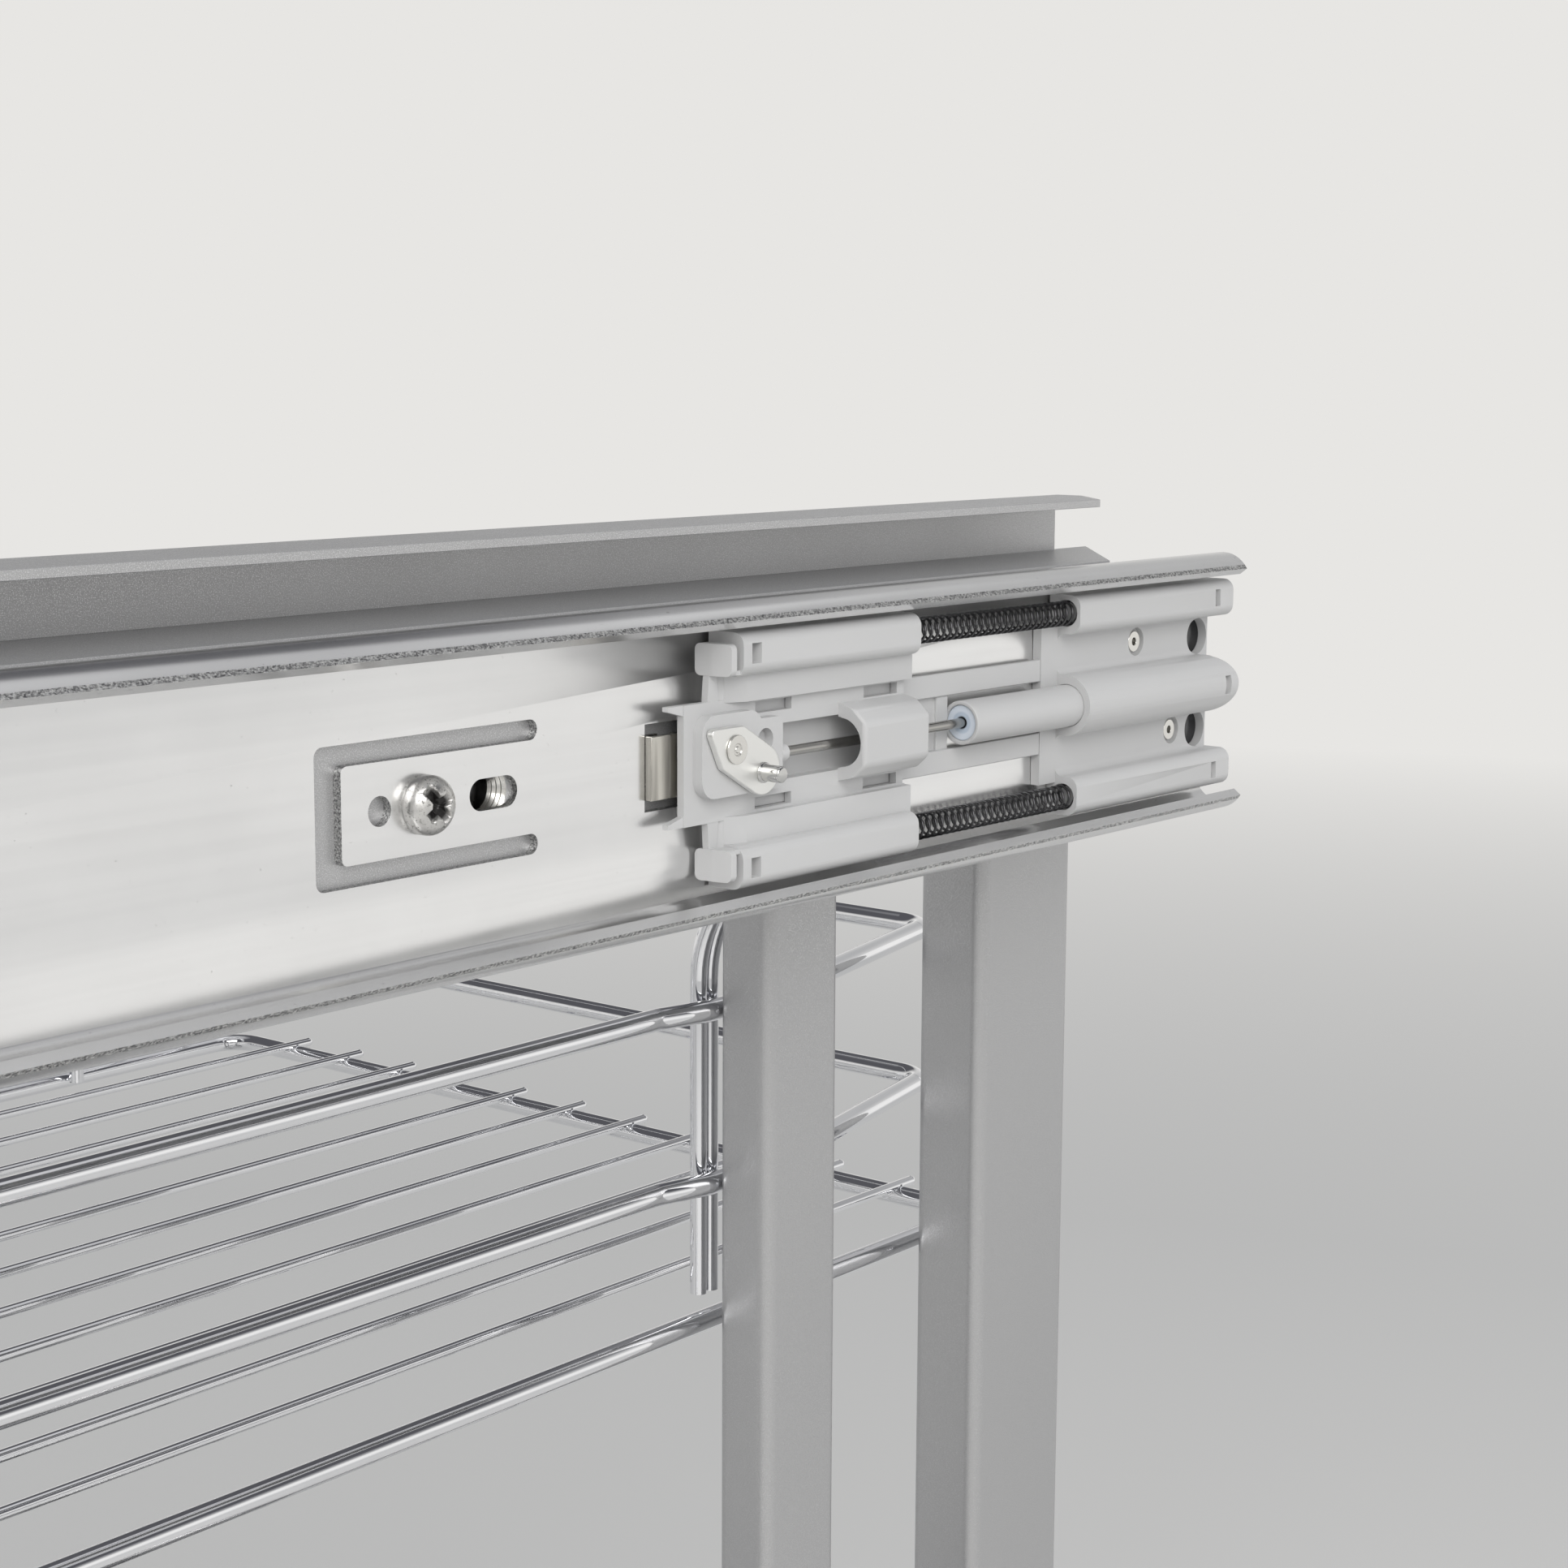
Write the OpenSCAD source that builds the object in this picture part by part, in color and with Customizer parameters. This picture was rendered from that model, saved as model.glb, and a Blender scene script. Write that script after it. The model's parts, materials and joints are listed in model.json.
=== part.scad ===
// Corner pull-out basket: a carriage that pulls out of a blind corner cabinet,
// and a front unit that slides sideways on it along a soft-closing ball slide.
// Millimetres, +Z up, +Y into the cabinet, X along the cross slide.
// The working frame has x = 0 at the slide's front end and y = 0 at its lips;
// placed() moves the whole object so that its origin is the middle of its foot.

/* [Cross slide] */
// Length of the outer member
slide_len = 500; // [470:10:540]
// Height of the upper slide's centre above the floor
slide_z = 500; // [460:5:560]
// Height of the lower slide's centre above the floor
lower_slide_z = 130; // [126:2:150]
// Height of the outer member
slide_h = 56.4; // [55.4:0.2:58]
// Depth of the outer member
slide_d = 12; // [12:0.1:12.6]
// Thickness of the slide steel
slide_t = 1.7; // [1.5:0.05:1.75]
// Length of each sliding member that stays inside the next at full travel
cross_overlap = 115; // [110:5:135]
// Length left free for the soft-close unit
unit_zone = 195; // [192:1:204]

/* [Soft-close unit] */
// Travel of the spring slider
slider_travel = 42; // [30:1:44]
// Diameter of the damper cylinder
damper_d = 8.6; // [8:0.1:8.7]
// Length of the damper cylinder
damper_len = 95; // [85:1:95]
// Diameter of the piston rod
piston_rod_d = 1.9; // [1.6:0.1:2.2]
// Outer diameter of the springs
spring_d = 5; // [4.4:0.1:5.2]
// Diameter of the spring wire
spring_wire_d = 0.65; // [0.5:0.05:0.8]
// Number of curls shown in each spring
spring_curls = 29; // [18:1:30]
// Diameter of the latch pin
pin_d = 3; // [2.6:0.1:3.2]

/* [Frame] */
// Width of the end posts along x
post_w = 34.9; // [30:0.1:36]
// Depth of the end posts along y
post_d = 17.6; // [12:0.1:18]
// Width of the hanger posts along x
hanger_w = 23.6; // [18:0.1:26]
// Depth of the hanger posts along y
hanger_d = 13.6; // [10:0.1:14.5]
// Wall of the posts
post_wall = 1.5; // [1:0.1:2.5]
// Thickness of the painted rail sheet
rail_t = 1.6; // [1.2:0.1:2]

/* [Baskets] */
// Depth of the rear baskets
rear_depth = 263; // [200:1:300]
// Depth of the front baskets
front_depth = 226; // [180:1:240]
// Height of a basket's rim above its bottom rods
basket_h = 66.2; // [50:0.2:90]
// Vertical distance between the two baskets of a pair
basket_step = 235; // [200:1:240]
// Diameter of the basket's main rods
rod_d = 4.6; // [4:0.1:5]
// Diameter of the bottom wires
wire_d = 2.4; // [2:0.1:3]
// Distance between the bottom wires
wire_pitch = 21.5; // [16:0.5:30]

/* [Pull-out base] */
// Length of the floor slides
pull_len = 450; // [430:5:480]
// Travel of the carriage
pull_travel = 400; // [300:5:410]
// Thickness of the floor bars and angles
base_t = 3; // [2.5:0.1:4]
// Diameter of the floor screw holes
floor_hole_d = 5.5; // [4:0.1:7]

/* [Hidden] */
$fn = 40;
eps = 0.01;          // cuts run this far past a face
lap = 0.05;          // a rod's straight lengths run this far into its bends
lap_step = 0.04;     // and are this much thinner
seat_gap = 0.1;      // clearance of parts that rest on each other
free_gap = 0.25;     // clearance of parts that slide past each other

// Slide sections: y is depth from the lips, h is height from the centre line
web_y = slide_d - slide_t;
race_r = 7;
race_y = slide_d / 2;
race_h = slide_h / 2 - race_r;
lip_h = slide_h / 2 - 4.6;
lip_bevel = 1.3;
ball_d = 5;
ball_h = slide_h / 2 - slide_t - ball_d / 2 - seat_gap;
small_ball_d = 3.9;
middle_t = 1.6;
middle_h = ball_h - ball_d / 2 - seat_gap;
middle_web_y = 4;
middle_front_y = -3;
middle_back_y = slide_d - 2.4;
small_ball_h = middle_h - middle_t - small_ball_d / 2 - seat_gap;
small_ball_y = 0.5;
inner_t = 1.5;
inner_h = small_ball_h - small_ball_d / 2 - seat_gap;
inner_front_y = -6.6;
inner_back_y = middle_web_y - 0.6;
member_len = slide_len - unit_zone;
cross_travel = 2 * (member_len - cross_overlap);
inner_x = -cross_travel;
middle_x = -cross_travel / 2;
cage_t = 0.6;
cage_w = 5.4;
cage_inset = 8;
cross_cage_len = cross_overlap - 2 * cage_inset;
cage_balls = 5;

// Painted rails behind the slides
rail_end = 16;                    // the rail web stops this far short of the slide's end
rail_web_y = 39.5;
rail_top_h = slide_h / 2 + 11.7;
shelf_h = slide_h / 2 - 0.3;
flange_y = 22;
flange_slant = 12;
shelf_cut_near = 36.3;
shelf_end = 1;
collar_d = 6.6;                   // threaded collar behind the oval hole
collar_len = 3;
collar_bore = 4.2;

// Posts
post_back_y = 51.9;
post_end = 13.9;                  // the end posts stop this far short of the slide's ends
hanger_end = 92.9;
end_post_x = slide_len - post_end - post_w;
hanger_x = slide_len - hanger_end - hanger_w;
post_corner_r = 3.2;
post_top = slide_z + shelf_h - rail_t;
post_foot = lower_slide_z - shelf_h + rail_t;

// Soft-close unit: x is counted from the rear end of the slide
unit_h = 22.5;
damper_y = damper_d / 2 + 1.5;
damper_x = -98;
damper_wall = 0.8;
cap_t = 2;
piston_len = 6;
piston_x = -64;
housing_x = -61.2;
housing_end = -0.8;
foot_len = 5.8;                   // the housing's foot runs this far ahead of it
foot_h = 16;
land_y = 8.2;
land_end = -2.4;
land_h = 10.1;
tube_in = 14.6;
housing_tube_y = 2.8;
dome_r = 6.2;
dome_end = -2.2;
rivet_hole_d = 6;
big_hole_d = 8;
rivet_x = [-31.4, -16.5];
big_hole_x = -6.8;
rivet_lift = 0.6;                 // the rivets stand this far above their middle places
plate_gap = 0.08;                 // plastic parts lie this far off the web
rail_in = 5.2;
rail_out = 9.7;
rail_y = 8.2;
guide_x = -174;
bar_x = [-102, -98.3];
slider_x = -178.3;
slider_end = -115.5;
tube_x = [-167.7, -116.2];
slider_tube_in = 14.9;
slider_tube_out = 22.65;
slider_tube_y = 2;
ledge_y = 5;
ledge_in = 10.1;
plate_y = [6.5, 8];
slot_half = 5.1;
slot_x = -151.6;
sleeve_d = 3.2;                   // holds the piston rod's end
sleeve_x = [-2.6, -0.6];          // from the slot's end
slider_window_x = [-159.2, -127.8];
bridge_x = -135.4;
bridge_y = 0.1;
spring_h = 18.8;
spring_y = 6.3;
spring_seat = 3;
spring_bore_d = spring_d + 0.5;
pivot = [-168.8, 2.4];
lever_y = [2.7, 4.1];
pad_y = 4.3;
pad_low = [-176, -6];
pad_high = [-161.7, 8.6];
pad_step = [-154.1, 6.9];
pad_hole = [-158.9, 3];
pad_hole_d = 4.2;
pin_at = [7.4, -4.8];             // from the pivot
pin_tip_y = -1.8;
lever_tilt = -30;                 // the plate's long edges
lever_end = [7.45, -4.3];
lever_end_r = 4.45;
lever_swing = 50;
claw_y = [2, 9.6];
claw_h = [15.2, 20.85];
rivet_d = 3.4;
rivet_fit = 0.05;

// Tab cut out of the web, from the rear end of the slide
tab_x = [-258.5, -210.4];
tab_half = 11.15;
tab_slot = 3.4;
tab_screw_x = -236.1;
screw_d = 5;
screw_head_d = 9.8;
screw_head_h = 3;
tab_hole_x = -245.3;
oval_x = [-225.9, -215.1];
oval_w = 5.2;
collar_x = oval_x[0] + 2.4;
window_x = [-184.1, -170];
window_half = 7.6;
clip_x = window_x[0] + seat_gap;
clip_half = 5.6;
clip_y = 8.8;
clip_t = 0.8;
left_screw_x = 60;

// Baskets
rear_y = 57;
rear_inset = 17;
rear_bottom_z = slide_z - 127.3;
rim_step = 36.2;
jog_y = post_back_y + rod_d / 2 + seat_gap;
jog_run = 12;
bend_r = 9;
corner_back = 18;
wire_over = 5;
wire_first = 23;
hanger_rod_d = 3.5;
hanger_rod_in = 2.4;              // from the post's side to the pair's first rod
hanger_rod_y = jog_y + (rod_d + hanger_rod_d) / 2 + seat_gap + free_gap;
hanger_lean = 35;                 // the hanger rods lean this far to the posts at their tops
hanger_bend_r = 26;
hanger_bend_z = 13.7;             // above the rim
upright_d = 4;
weld = 0.3;                       // welded rods sink this far into each other
upright_in = (rod_d + upright_d) / 2 - weld;
frame_d = 12;
front_y = inner_front_y - frame_d - rod_d / 2 - 2 * seat_gap;
front_inset = 10;
front_post_w = 21.7;
front_post_inset = 20;

// Floor slides
pull_z = 40;
pull_y = -150;
base_out_x = 12;                  // the angles stand this far outside the cross slide
angle_w = 34;
angle_h = pull_z + slide_h / 2;
pull_cage_y = 130;
pull_cage_len = 200;
side_t = 2;
side_foot = 15;
tube_h = 20;
frame_top = lower_slide_z - rail_top_h;
left_face = -base_out_x + base_t + slide_d - inner_front_y;
right_face = slide_len + 3 - base_t - slide_d + inner_front_y;
tube_front_y = 16;
tube_rear_y = 230;
side_y = [0, 265];

// Whole object
x_low = inner_x;
x_high = slide_len + 3;
y_low = front_y - front_depth - rod_d / 2;
y_high = max(rear_y + rear_depth + rod_d / 2, pull_y + pull_len);
centre = [(x_low + x_high) / 2, (y_low + y_high) / 2, 0];

steel = [0.8, 0.81, 0.82];
paint = [0.66, 0.67, 0.68];
plastic = [0.72, 0.73, 0.74];
chrome = [0.86, 0.86, 0.88];
dark = [0.12, 0.12, 0.13];

module placed() translate(-centre) children();

// Draws a y-h section and runs it along x
module along_x(x0, x1)
    translate([x0, 0, 0]) rotate([90, 0, 90]) linear_extrude(x1 - x0) children();

// Draws an x-h outline and runs it in depth
module facing(y0, y1)
    translate([0, y1, 0]) rotate([90, 0, 0]) linear_extrude(y1 - y0) children();

// Rectangle between two corners
module span(a, b) translate(a) square(b - a);

// Rectangle between two corners with round corners
module round_span(a, b, r) {
    span(a + [r, 0], b - [r, 0]);
    span(a + [0, r], b - [0, r]);
    for (x = [a.x + r, b.x - r], y = [a.y + r, b.y - r]) translate([x, y]) circle(r);
}

module both_ways() {
    children();
    mirror([0, 0, 1]) children();
}

module flip_h() {
    children();
    mirror([0, 1]) children();
}

module at_rear(z = slide_z) translate([slide_len, 0, z]) children();

// Straight rod between two points
module rod(p, q, d) {
    v = q - p;
    translate(p) rotate([0, acos(v.z / norm(v)), atan2(v.y, v.x)]) cylinder(d = d, h = norm(v));
}

function unit(v) = v / norm(v);
function turn_at(p, i) = let (
        n = len(p),
        a = p[i] - p[(i + n - 1) % n],
        b = p[(i + 1) % n] - p[i]
    ) atan2(a.x * b.y - a.y * b.x, a * b);

// Rod bent along a list of points in the xy plane, with a round bend of radius r at each
// inner point, or at every point if it is closed
module bent_rod(points, d, r, closed = false) {
    n = len(points);
    bends = closed ? [0, n - 1] : [1, n - 2];
    cut = [for (i = [0 : n - 1])
        i < bends[0] || i > bends[1] ? 0 : r * tan(abs(turn_at(points, i)) / 2)];
    for (i = [0 : closed ? n - 1 : n - 2]) let (
            j = (i + 1) % n,
            u = unit(points[j] - points[i])
        ) straight(points[i] + u * (cut[i] - lap), points[j] - u * (cut[j] - lap), d - lap_step);
    for (i = [bends[0] : bends[1]]) let (
            turn = turn_at(points, i),
            u = unit(points[i] - points[(i + n - 1) % n]),
            side = [-u.y, u.x] * sign(turn),
            from = atan2(-side.y, -side.x)
        ) translate(points[i] - u * cut[i] + side * r) rotate(turn > 0 ? from : from + turn)
            rotate_extrude(angle = abs(turn)) translate([r, 0]) circle(d = d);
}

module straight(a, b, d) translate([a.x, a.y, 0]) rotate([0, 0, atan2(b.y - a.y, b.x - a.x)])
    rotate([0, 90, 0]) cylinder(d = d, h = norm(b - a));

// Slide members

module race_outline(inset) {
    r = race_r - inset;
    intersection() {
        span([inset, -slide_h], [slide_d - inset, slide_h]);
        union() {
            span([0, -race_h], [slide_d, race_h]);
            flip_h() translate([race_y, race_h]) circle(r, $fn = 96);
        }
    }
}

module outer_section() difference() {
    race_outline(0);
    race_outline(slide_t);
    polygon([
        [-1, -lip_h - lip_bevel - 1], [0, -lip_h - lip_bevel], [slide_t + eps, -lip_h],
        [slide_t + eps, lip_h], [0, lip_h + lip_bevel], [-1, lip_h + lip_bevel + 1]
    ]);
}

module outer_member(len) along_x(0, len) outer_section();

module middle_member(len) along_x(0, len) {
    span([middle_web_y, -middle_h + eps], [middle_web_y + middle_t, middle_h - eps]);
    flip_h() {
        span([middle_front_y, middle_h - middle_t], [middle_back_y, middle_h]);
        span([middle_front_y, middle_h - middle_t - 1], [middle_front_y + 1.2, middle_h - eps]);
    }
}

module inner_member(len) along_x(0, len) difference() {
    span([inner_front_y, -inner_h], [inner_back_y, inner_h]);
    span([inner_front_y + inner_t, -inner_h + inner_t], [inner_back_y + 1, inner_h - inner_t]);
}

function rivet_h(i) = land_h * (1 - 2 * i) + rivet_lift;

// Two strips with balls, one above and one below the slide's centre
module ball_strips(len, d, y, h) both_ways() {
    translate([0, y - cage_w * d / ball_d / 2, h - cage_t / 2]) cube([len, cage_w * d / ball_d, cage_t]);
    for (i = [0 : cage_balls - 1])
        translate([d + i * (len - 2 * d) / (cage_balls - 1), y, h]) sphere(d = d);
}

module outer_cage(len) ball_strips(len, ball_d, race_y, ball_h);
module inner_cage(len) ball_strips(len, small_ball_d, small_ball_y, small_ball_h);

module slide_outer_upper() color(steel) at_rear() difference() {
    translate([-slide_len, 0, 0]) outer_member(slide_len);
    tab_cuts();
    facing(web_y - 1, slide_d + 1) {
        span([window_x[0], -window_half], [window_x[1], window_half]);
        for (i = [0, 1]) translate([rivet_x[i], rivet_h(i)]) circle(d = 3);
        for (s = [-1, 1]) translate([big_hole_x, s * land_h]) circle(d = big_hole_d);
        translate([left_screw_x - slide_len, 0]) circle(d = screw_d + 0.4);
    }
}

// A tongue left standing inside a U-shaped cut, with its holes
module tab_cuts() facing(web_y - 1, slide_d + 1) {
    difference() {
        union() {
            round_span([tab_x[0], -tab_half], [tab_x[0] + tab_slot + 4, tab_half], 1.6);
            flip_h() span([tab_x[0] + tab_slot, tab_half - tab_slot], [tab_x[1] - tab_slot / 2, tab_half]);
            flip_h() translate([tab_x[1] - tab_slot / 2, tab_half - tab_slot / 2]) circle(d = tab_slot);
        }
        round_span([tab_x[0] + tab_slot + 1.9, -tab_half + tab_slot], [tab_x[1] + 1, tab_half - tab_slot], 1.2);
    }
    translate([tab_hole_x, 0]) circle(d = 4.8);
    translate([tab_screw_x, 0]) circle(d = screw_d + 0.4);
    round_span([oval_x[0], -oval_w / 2], [oval_x[1], oval_w / 2], oval_w / 2 - eps);
}

module slide_outer_lower() color(steel) translate([0, 0, lower_slide_z]) difference() {
    outer_member(slide_len);
    facing(web_y - 1, slide_d + 1)
        for (x = [left_screw_x, slide_len + tab_screw_x]) translate([x, 0]) circle(d = screw_d + 0.4);
}

module slide_middle_upper() color(steel) translate([middle_x, 0, slide_z]) middle_member(member_len);
module slide_middle_lower() color(steel) translate([middle_x, 0, lower_slide_z]) middle_member(member_len);
module slide_inner_upper() color(steel) translate([inner_x, 0, slide_z]) inner_member(member_len);
module slide_inner_lower() color(steel) translate([inner_x, 0, lower_slide_z]) inner_member(member_len);

module slide_outer_cages() color(chrome) for (z = [slide_z, lower_slide_z])
    translate([cage_inset, 0, z]) outer_cage(cross_cage_len);

module slide_inner_cages() color(chrome) for (z = [slide_z, lower_slide_z])
    translate([middle_x + cage_inset, 0, z]) inner_cage(cross_cage_len);

// Screws

module pan_screw(len) {
    intersection() {
        cylinder(d = screw_head_d, h = screw_head_h);
        translate([0, 0, screw_head_h - 7]) sphere(r = 7, $fn = 64);
    }
    translate([0, 0, -len]) cylinder(d = screw_d, h = len + eps);
}

module screw_facing(x, z, y) translate([x, y - seat_gap / 2, z]) rotate([90, 0, 0]) difference() {
    pan_screw(slide_t + rail_t + 6);
    for (a = [0, 90]) rotate(a) translate([-2.6, -0.5, screw_head_h - 1.9]) cube([5.2, 1, 3]);
}

module tab_screw() color(steel) screw_facing(slide_len + tab_screw_x, slide_z, web_y);

module slide_screws() color(steel) {
    screw_facing(left_screw_x, slide_z, web_y);
    for (x = [left_screw_x, slide_len + tab_screw_x]) screw_facing(x, lower_slide_z, web_y);
}

// Painted rails

module rail_sheet() difference() {
    union() {
        along_x(0, slide_len - shelf_cut_near) span([slide_d, -shelf_h], [slide_d + rail_t, shelf_h]);
        translate([0, 0, shelf_h - rail_t]) linear_extrude(rail_t) polygon([
            [0, slide_d], [slide_len - shelf_cut_near, slide_d],
            [slide_len - shelf_end, rail_web_y + rail_t], [0, rail_web_y + rail_t]
        ]);
        along_x(0, slide_len - rail_end)
            span([rail_web_y, shelf_h - rail_t], [rail_web_y + rail_t, rail_top_h]);
        translate([0, 0, rail_top_h - rail_t]) linear_extrude(rail_t) polygon([
            [0, flange_y], [slide_len - rail_end - flange_slant + 3, flange_y],
            [slide_len - rail_end + 3, rail_web_y - 5], [slide_len - rail_end + 3, rail_web_y + rail_t],
            [0, rail_web_y + rail_t]
        ]);
        translate([slide_len + collar_x, slide_d + rail_t + collar_len, 0]) rotate([90, 0, 0])
            cylinder(d = collar_d, h = collar_len + 1);
    }
    for (x = [left_screw_x, slide_len + tab_screw_x])
        translate([x, slide_d + rail_t + 1, 0]) rotate([90, 0, 0]) cylinder(d = screw_d + 0.1, h = rail_t + 2);
    translate([slide_len + collar_x, slide_d + rail_t + collar_len + 1, 0]) rotate([90, 0, 0])
        cylinder(d = collar_bore, h = rail_t + collar_len + 2);
}

module top_rail() color(paint) translate([0, 0, slide_z]) rail_sheet();
module bottom_rail() color(paint) translate([0, 0, lower_slide_z]) mirror([0, 0, 1]) rail_sheet();

// Posts

module post(x, w, d) color(paint) translate([x, post_back_y - d, post_foot])
    linear_extrude(post_top - post_foot) difference() {
        round_span([0, 0], [w, d], post_corner_r);
        round_span([post_wall, post_wall], [w - post_wall, d - post_wall], post_corner_r - post_wall);
    }

module end_post_right() post(end_post_x, post_w, post_d);
module end_post_left() post(post_end, post_w, post_d);
module hanger_post_right() post(hanger_x, hanger_w, hanger_d);
module hanger_post_left() post(slide_len - hanger_x - hanger_w, hanger_w, hanger_d);

// Soft-close unit

// Section of a spring tube with round front edges, on a plate that lies on the web
module tube_section(inner, outer, front, back) {
    r = 2.4;
    span([front + r, inner], [back, outer]);
    span([front, inner + r], [front + r + eps, outer - r]);
    for (h = [inner + r, outer - r]) translate([front + r, h]) circle(r);
}

// Concave fillet between a raised wall and the land next to it
module fillet(y, h, r, up) translate([y, h]) difference() {
    span([-r, up > 0 ? -eps : -r], [eps, up > 0 ? r : eps]);
    translate([-r, up * r]) circle(r);
}

// Half-round ridge that covers the damper
module dome_section() intersection() {
    union() {
        translate([dome_r, 0]) circle(dome_r, $fn = 64);
        span([dome_r, -dome_r], [slide_d, dome_r]);
    }
    span([-1, -dome_r - 1], [web_y - plate_gap, dome_r + 1]);
}

module housing_section() {
    back = web_y - plate_gap;
    span([land_y, -unit_h + 1], [back, unit_h - 1]);
    flip_h() tube_section(tube_in, unit_h, housing_tube_y, back);
    flip_h() fillet(land_y, tube_in, 1.6, -1);
    dome_section();
    flip_h() fillet(land_y, dome_r, 1.2, 1);
}

module soft_close_housing() color(plastic) at_rear() difference() {
    union() {
        along_x(housing_x, land_end - 4) housing_section();
        along_x(housing_x - foot_len, housing_x + 1) span([land_y, -foot_h], [web_y - plate_gap, foot_h]);
        along_x(land_end - 5, land_end)
            span([land_y, -unit_h + 1], [web_y - plate_gap, unit_h - 1]);
        both_ways() along_x(land_end - 5, housing_end)
            tube_section(tube_in, unit_h, housing_tube_y, web_y - plate_gap);
        facing(dome_r, web_y - plate_gap) translate([dome_end - dome_r, 0]) circle(dome_r, $fn = 64);
        intersection() {
            along_x(dome_end - 20, dome_end + 1) dome_section();
            translate([dome_end - dome_r, web_y, 0]) rotate([90, 0, 0])
                cylinder(r = dome_r, h = 20, $fn = 64);
        }
    }
    along_x(housing_x - 1, damper_x + damper_len + seat_gap)
        translate([damper_y, 0]) circle(d = damper_d + 2 * seat_gap);
    along_x(housing_x - foot_len - 1, housing_x + eps)
        translate([damper_y, 0]) circle(d = damper_d + 2 * seat_gap);
    both_ways() along_x(housing_x - 1, housing_x + spring_seat)
        translate([spring_y, spring_h]) circle(d = spring_bore_d);
    for (i = [0, 1]) translate([rivet_x[i], 0, rivet_h(i)]) rotate([90, 0, 0]) {
        translate([0, 0, -web_y - 1]) cylinder(d = 3, h = 5);
        translate([0, 0, -web_y + 0.9]) cylinder(d = rivet_hole_d, h = web_y);
    }
    for (s = [-1, 1]) translate([big_hole_x, web_y + 1, s * land_h]) rotate([90, 0, 0])
        cylinder(d = big_hole_d, h = web_y + 1);
    both_ways() translate([-8.2, 0, spring_h - 1.8]) cube([2, 5, 3.6]);
    translate([dome_end - 5.2, -1, -2]) cube([2.2, 3.4, 4]);
}

module housing_rivets() color(steel) at_rear() for (i = [0, 1])
    translate([rivet_x[i], web_y, rivet_h(i)]) rotate([90, 0, 0]) difference() {
        union() {
            translate([0, 0, -slide_t]) cylinder(d = 3 - 2 * seat_gap, h = slide_t + 1.5);
            translate([0, 0, 0.95]) cylinder(d = 4.4, h = 0.7);
        }
        translate([0, 0, -slide_t - 1]) cylinder(d = 1.6, h = slide_t + 4);
    }

module damper_cylinder() color(plastic) at_rear() along_x(damper_x, damper_x + damper_len - 1.5)
    translate([damper_y, 0]) difference() {
        circle(d = damper_d, $fn = 64);
        circle(d = damper_d - 2 * damper_wall, $fn = 64);
    }

module damper_cap() color([0.84, 0.87, 0.92]) at_rear() along_x(damper_x + 0.5, damper_x + 0.5 + cap_t)
    translate([damper_y, 0]) difference() {
        circle(d = damper_d - 2 * damper_wall - 0.05, $fn = 64);
        circle(d = piston_rod_d + 0.14);
    }

module piston_rod() color(steel) at_rear() {
    along_x(slot_x - 2.3, piston_x + 1) translate([damper_y, 0]) circle(d = piston_rod_d);
    along_x(piston_x, piston_x + piston_len)
        translate([damper_y, 0]) circle(d = damper_d - 2 * damper_wall - 0.1, $fn = 64);
}

module guide_base() color(plastic) at_rear() {
    back = web_y - plate_gap;
    both_ways() along_x(guide_x, housing_x - foot_len - seat_gap) difference() {
        span([rail_y, rail_in], [back, rail_out]);
        span([rail_y + 0.9, rail_out - 0.8], [back + 1, rail_out + 1]);
    }
    along_x(bar_x[0], bar_x[1]) span([rail_y + 0.4, -rail_in - eps], [back, rail_in + eps]);
    along_x(guide_x, guide_x + 4) span([rail_y + 0.4, -rail_in - eps], [back, rail_in + eps]);
    along_x(guide_x + 1, bar_x[0] + 1) span([back - 0.9, -rail_in - eps], [back, rail_in + eps]);
}

// Bright steel clip that stands in the web's window
module latch_clip() color(chrome) at_rear() translate([0, 0, -clip_half]) linear_extrude(2 * clip_half) {
    span([clip_x, clip_y], [clip_x + 7.8, clip_y + clip_t]);
    span([clip_x, clip_y], [clip_x + clip_t, slide_d - eps]);
    span([clip_x, slide_d - clip_t], [clip_x + 4.2, slide_d - eps]);
    span([clip_x + 7.8 - clip_t, clip_y], [clip_x + 7.8, clip_y + 2.2]);
}

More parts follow.
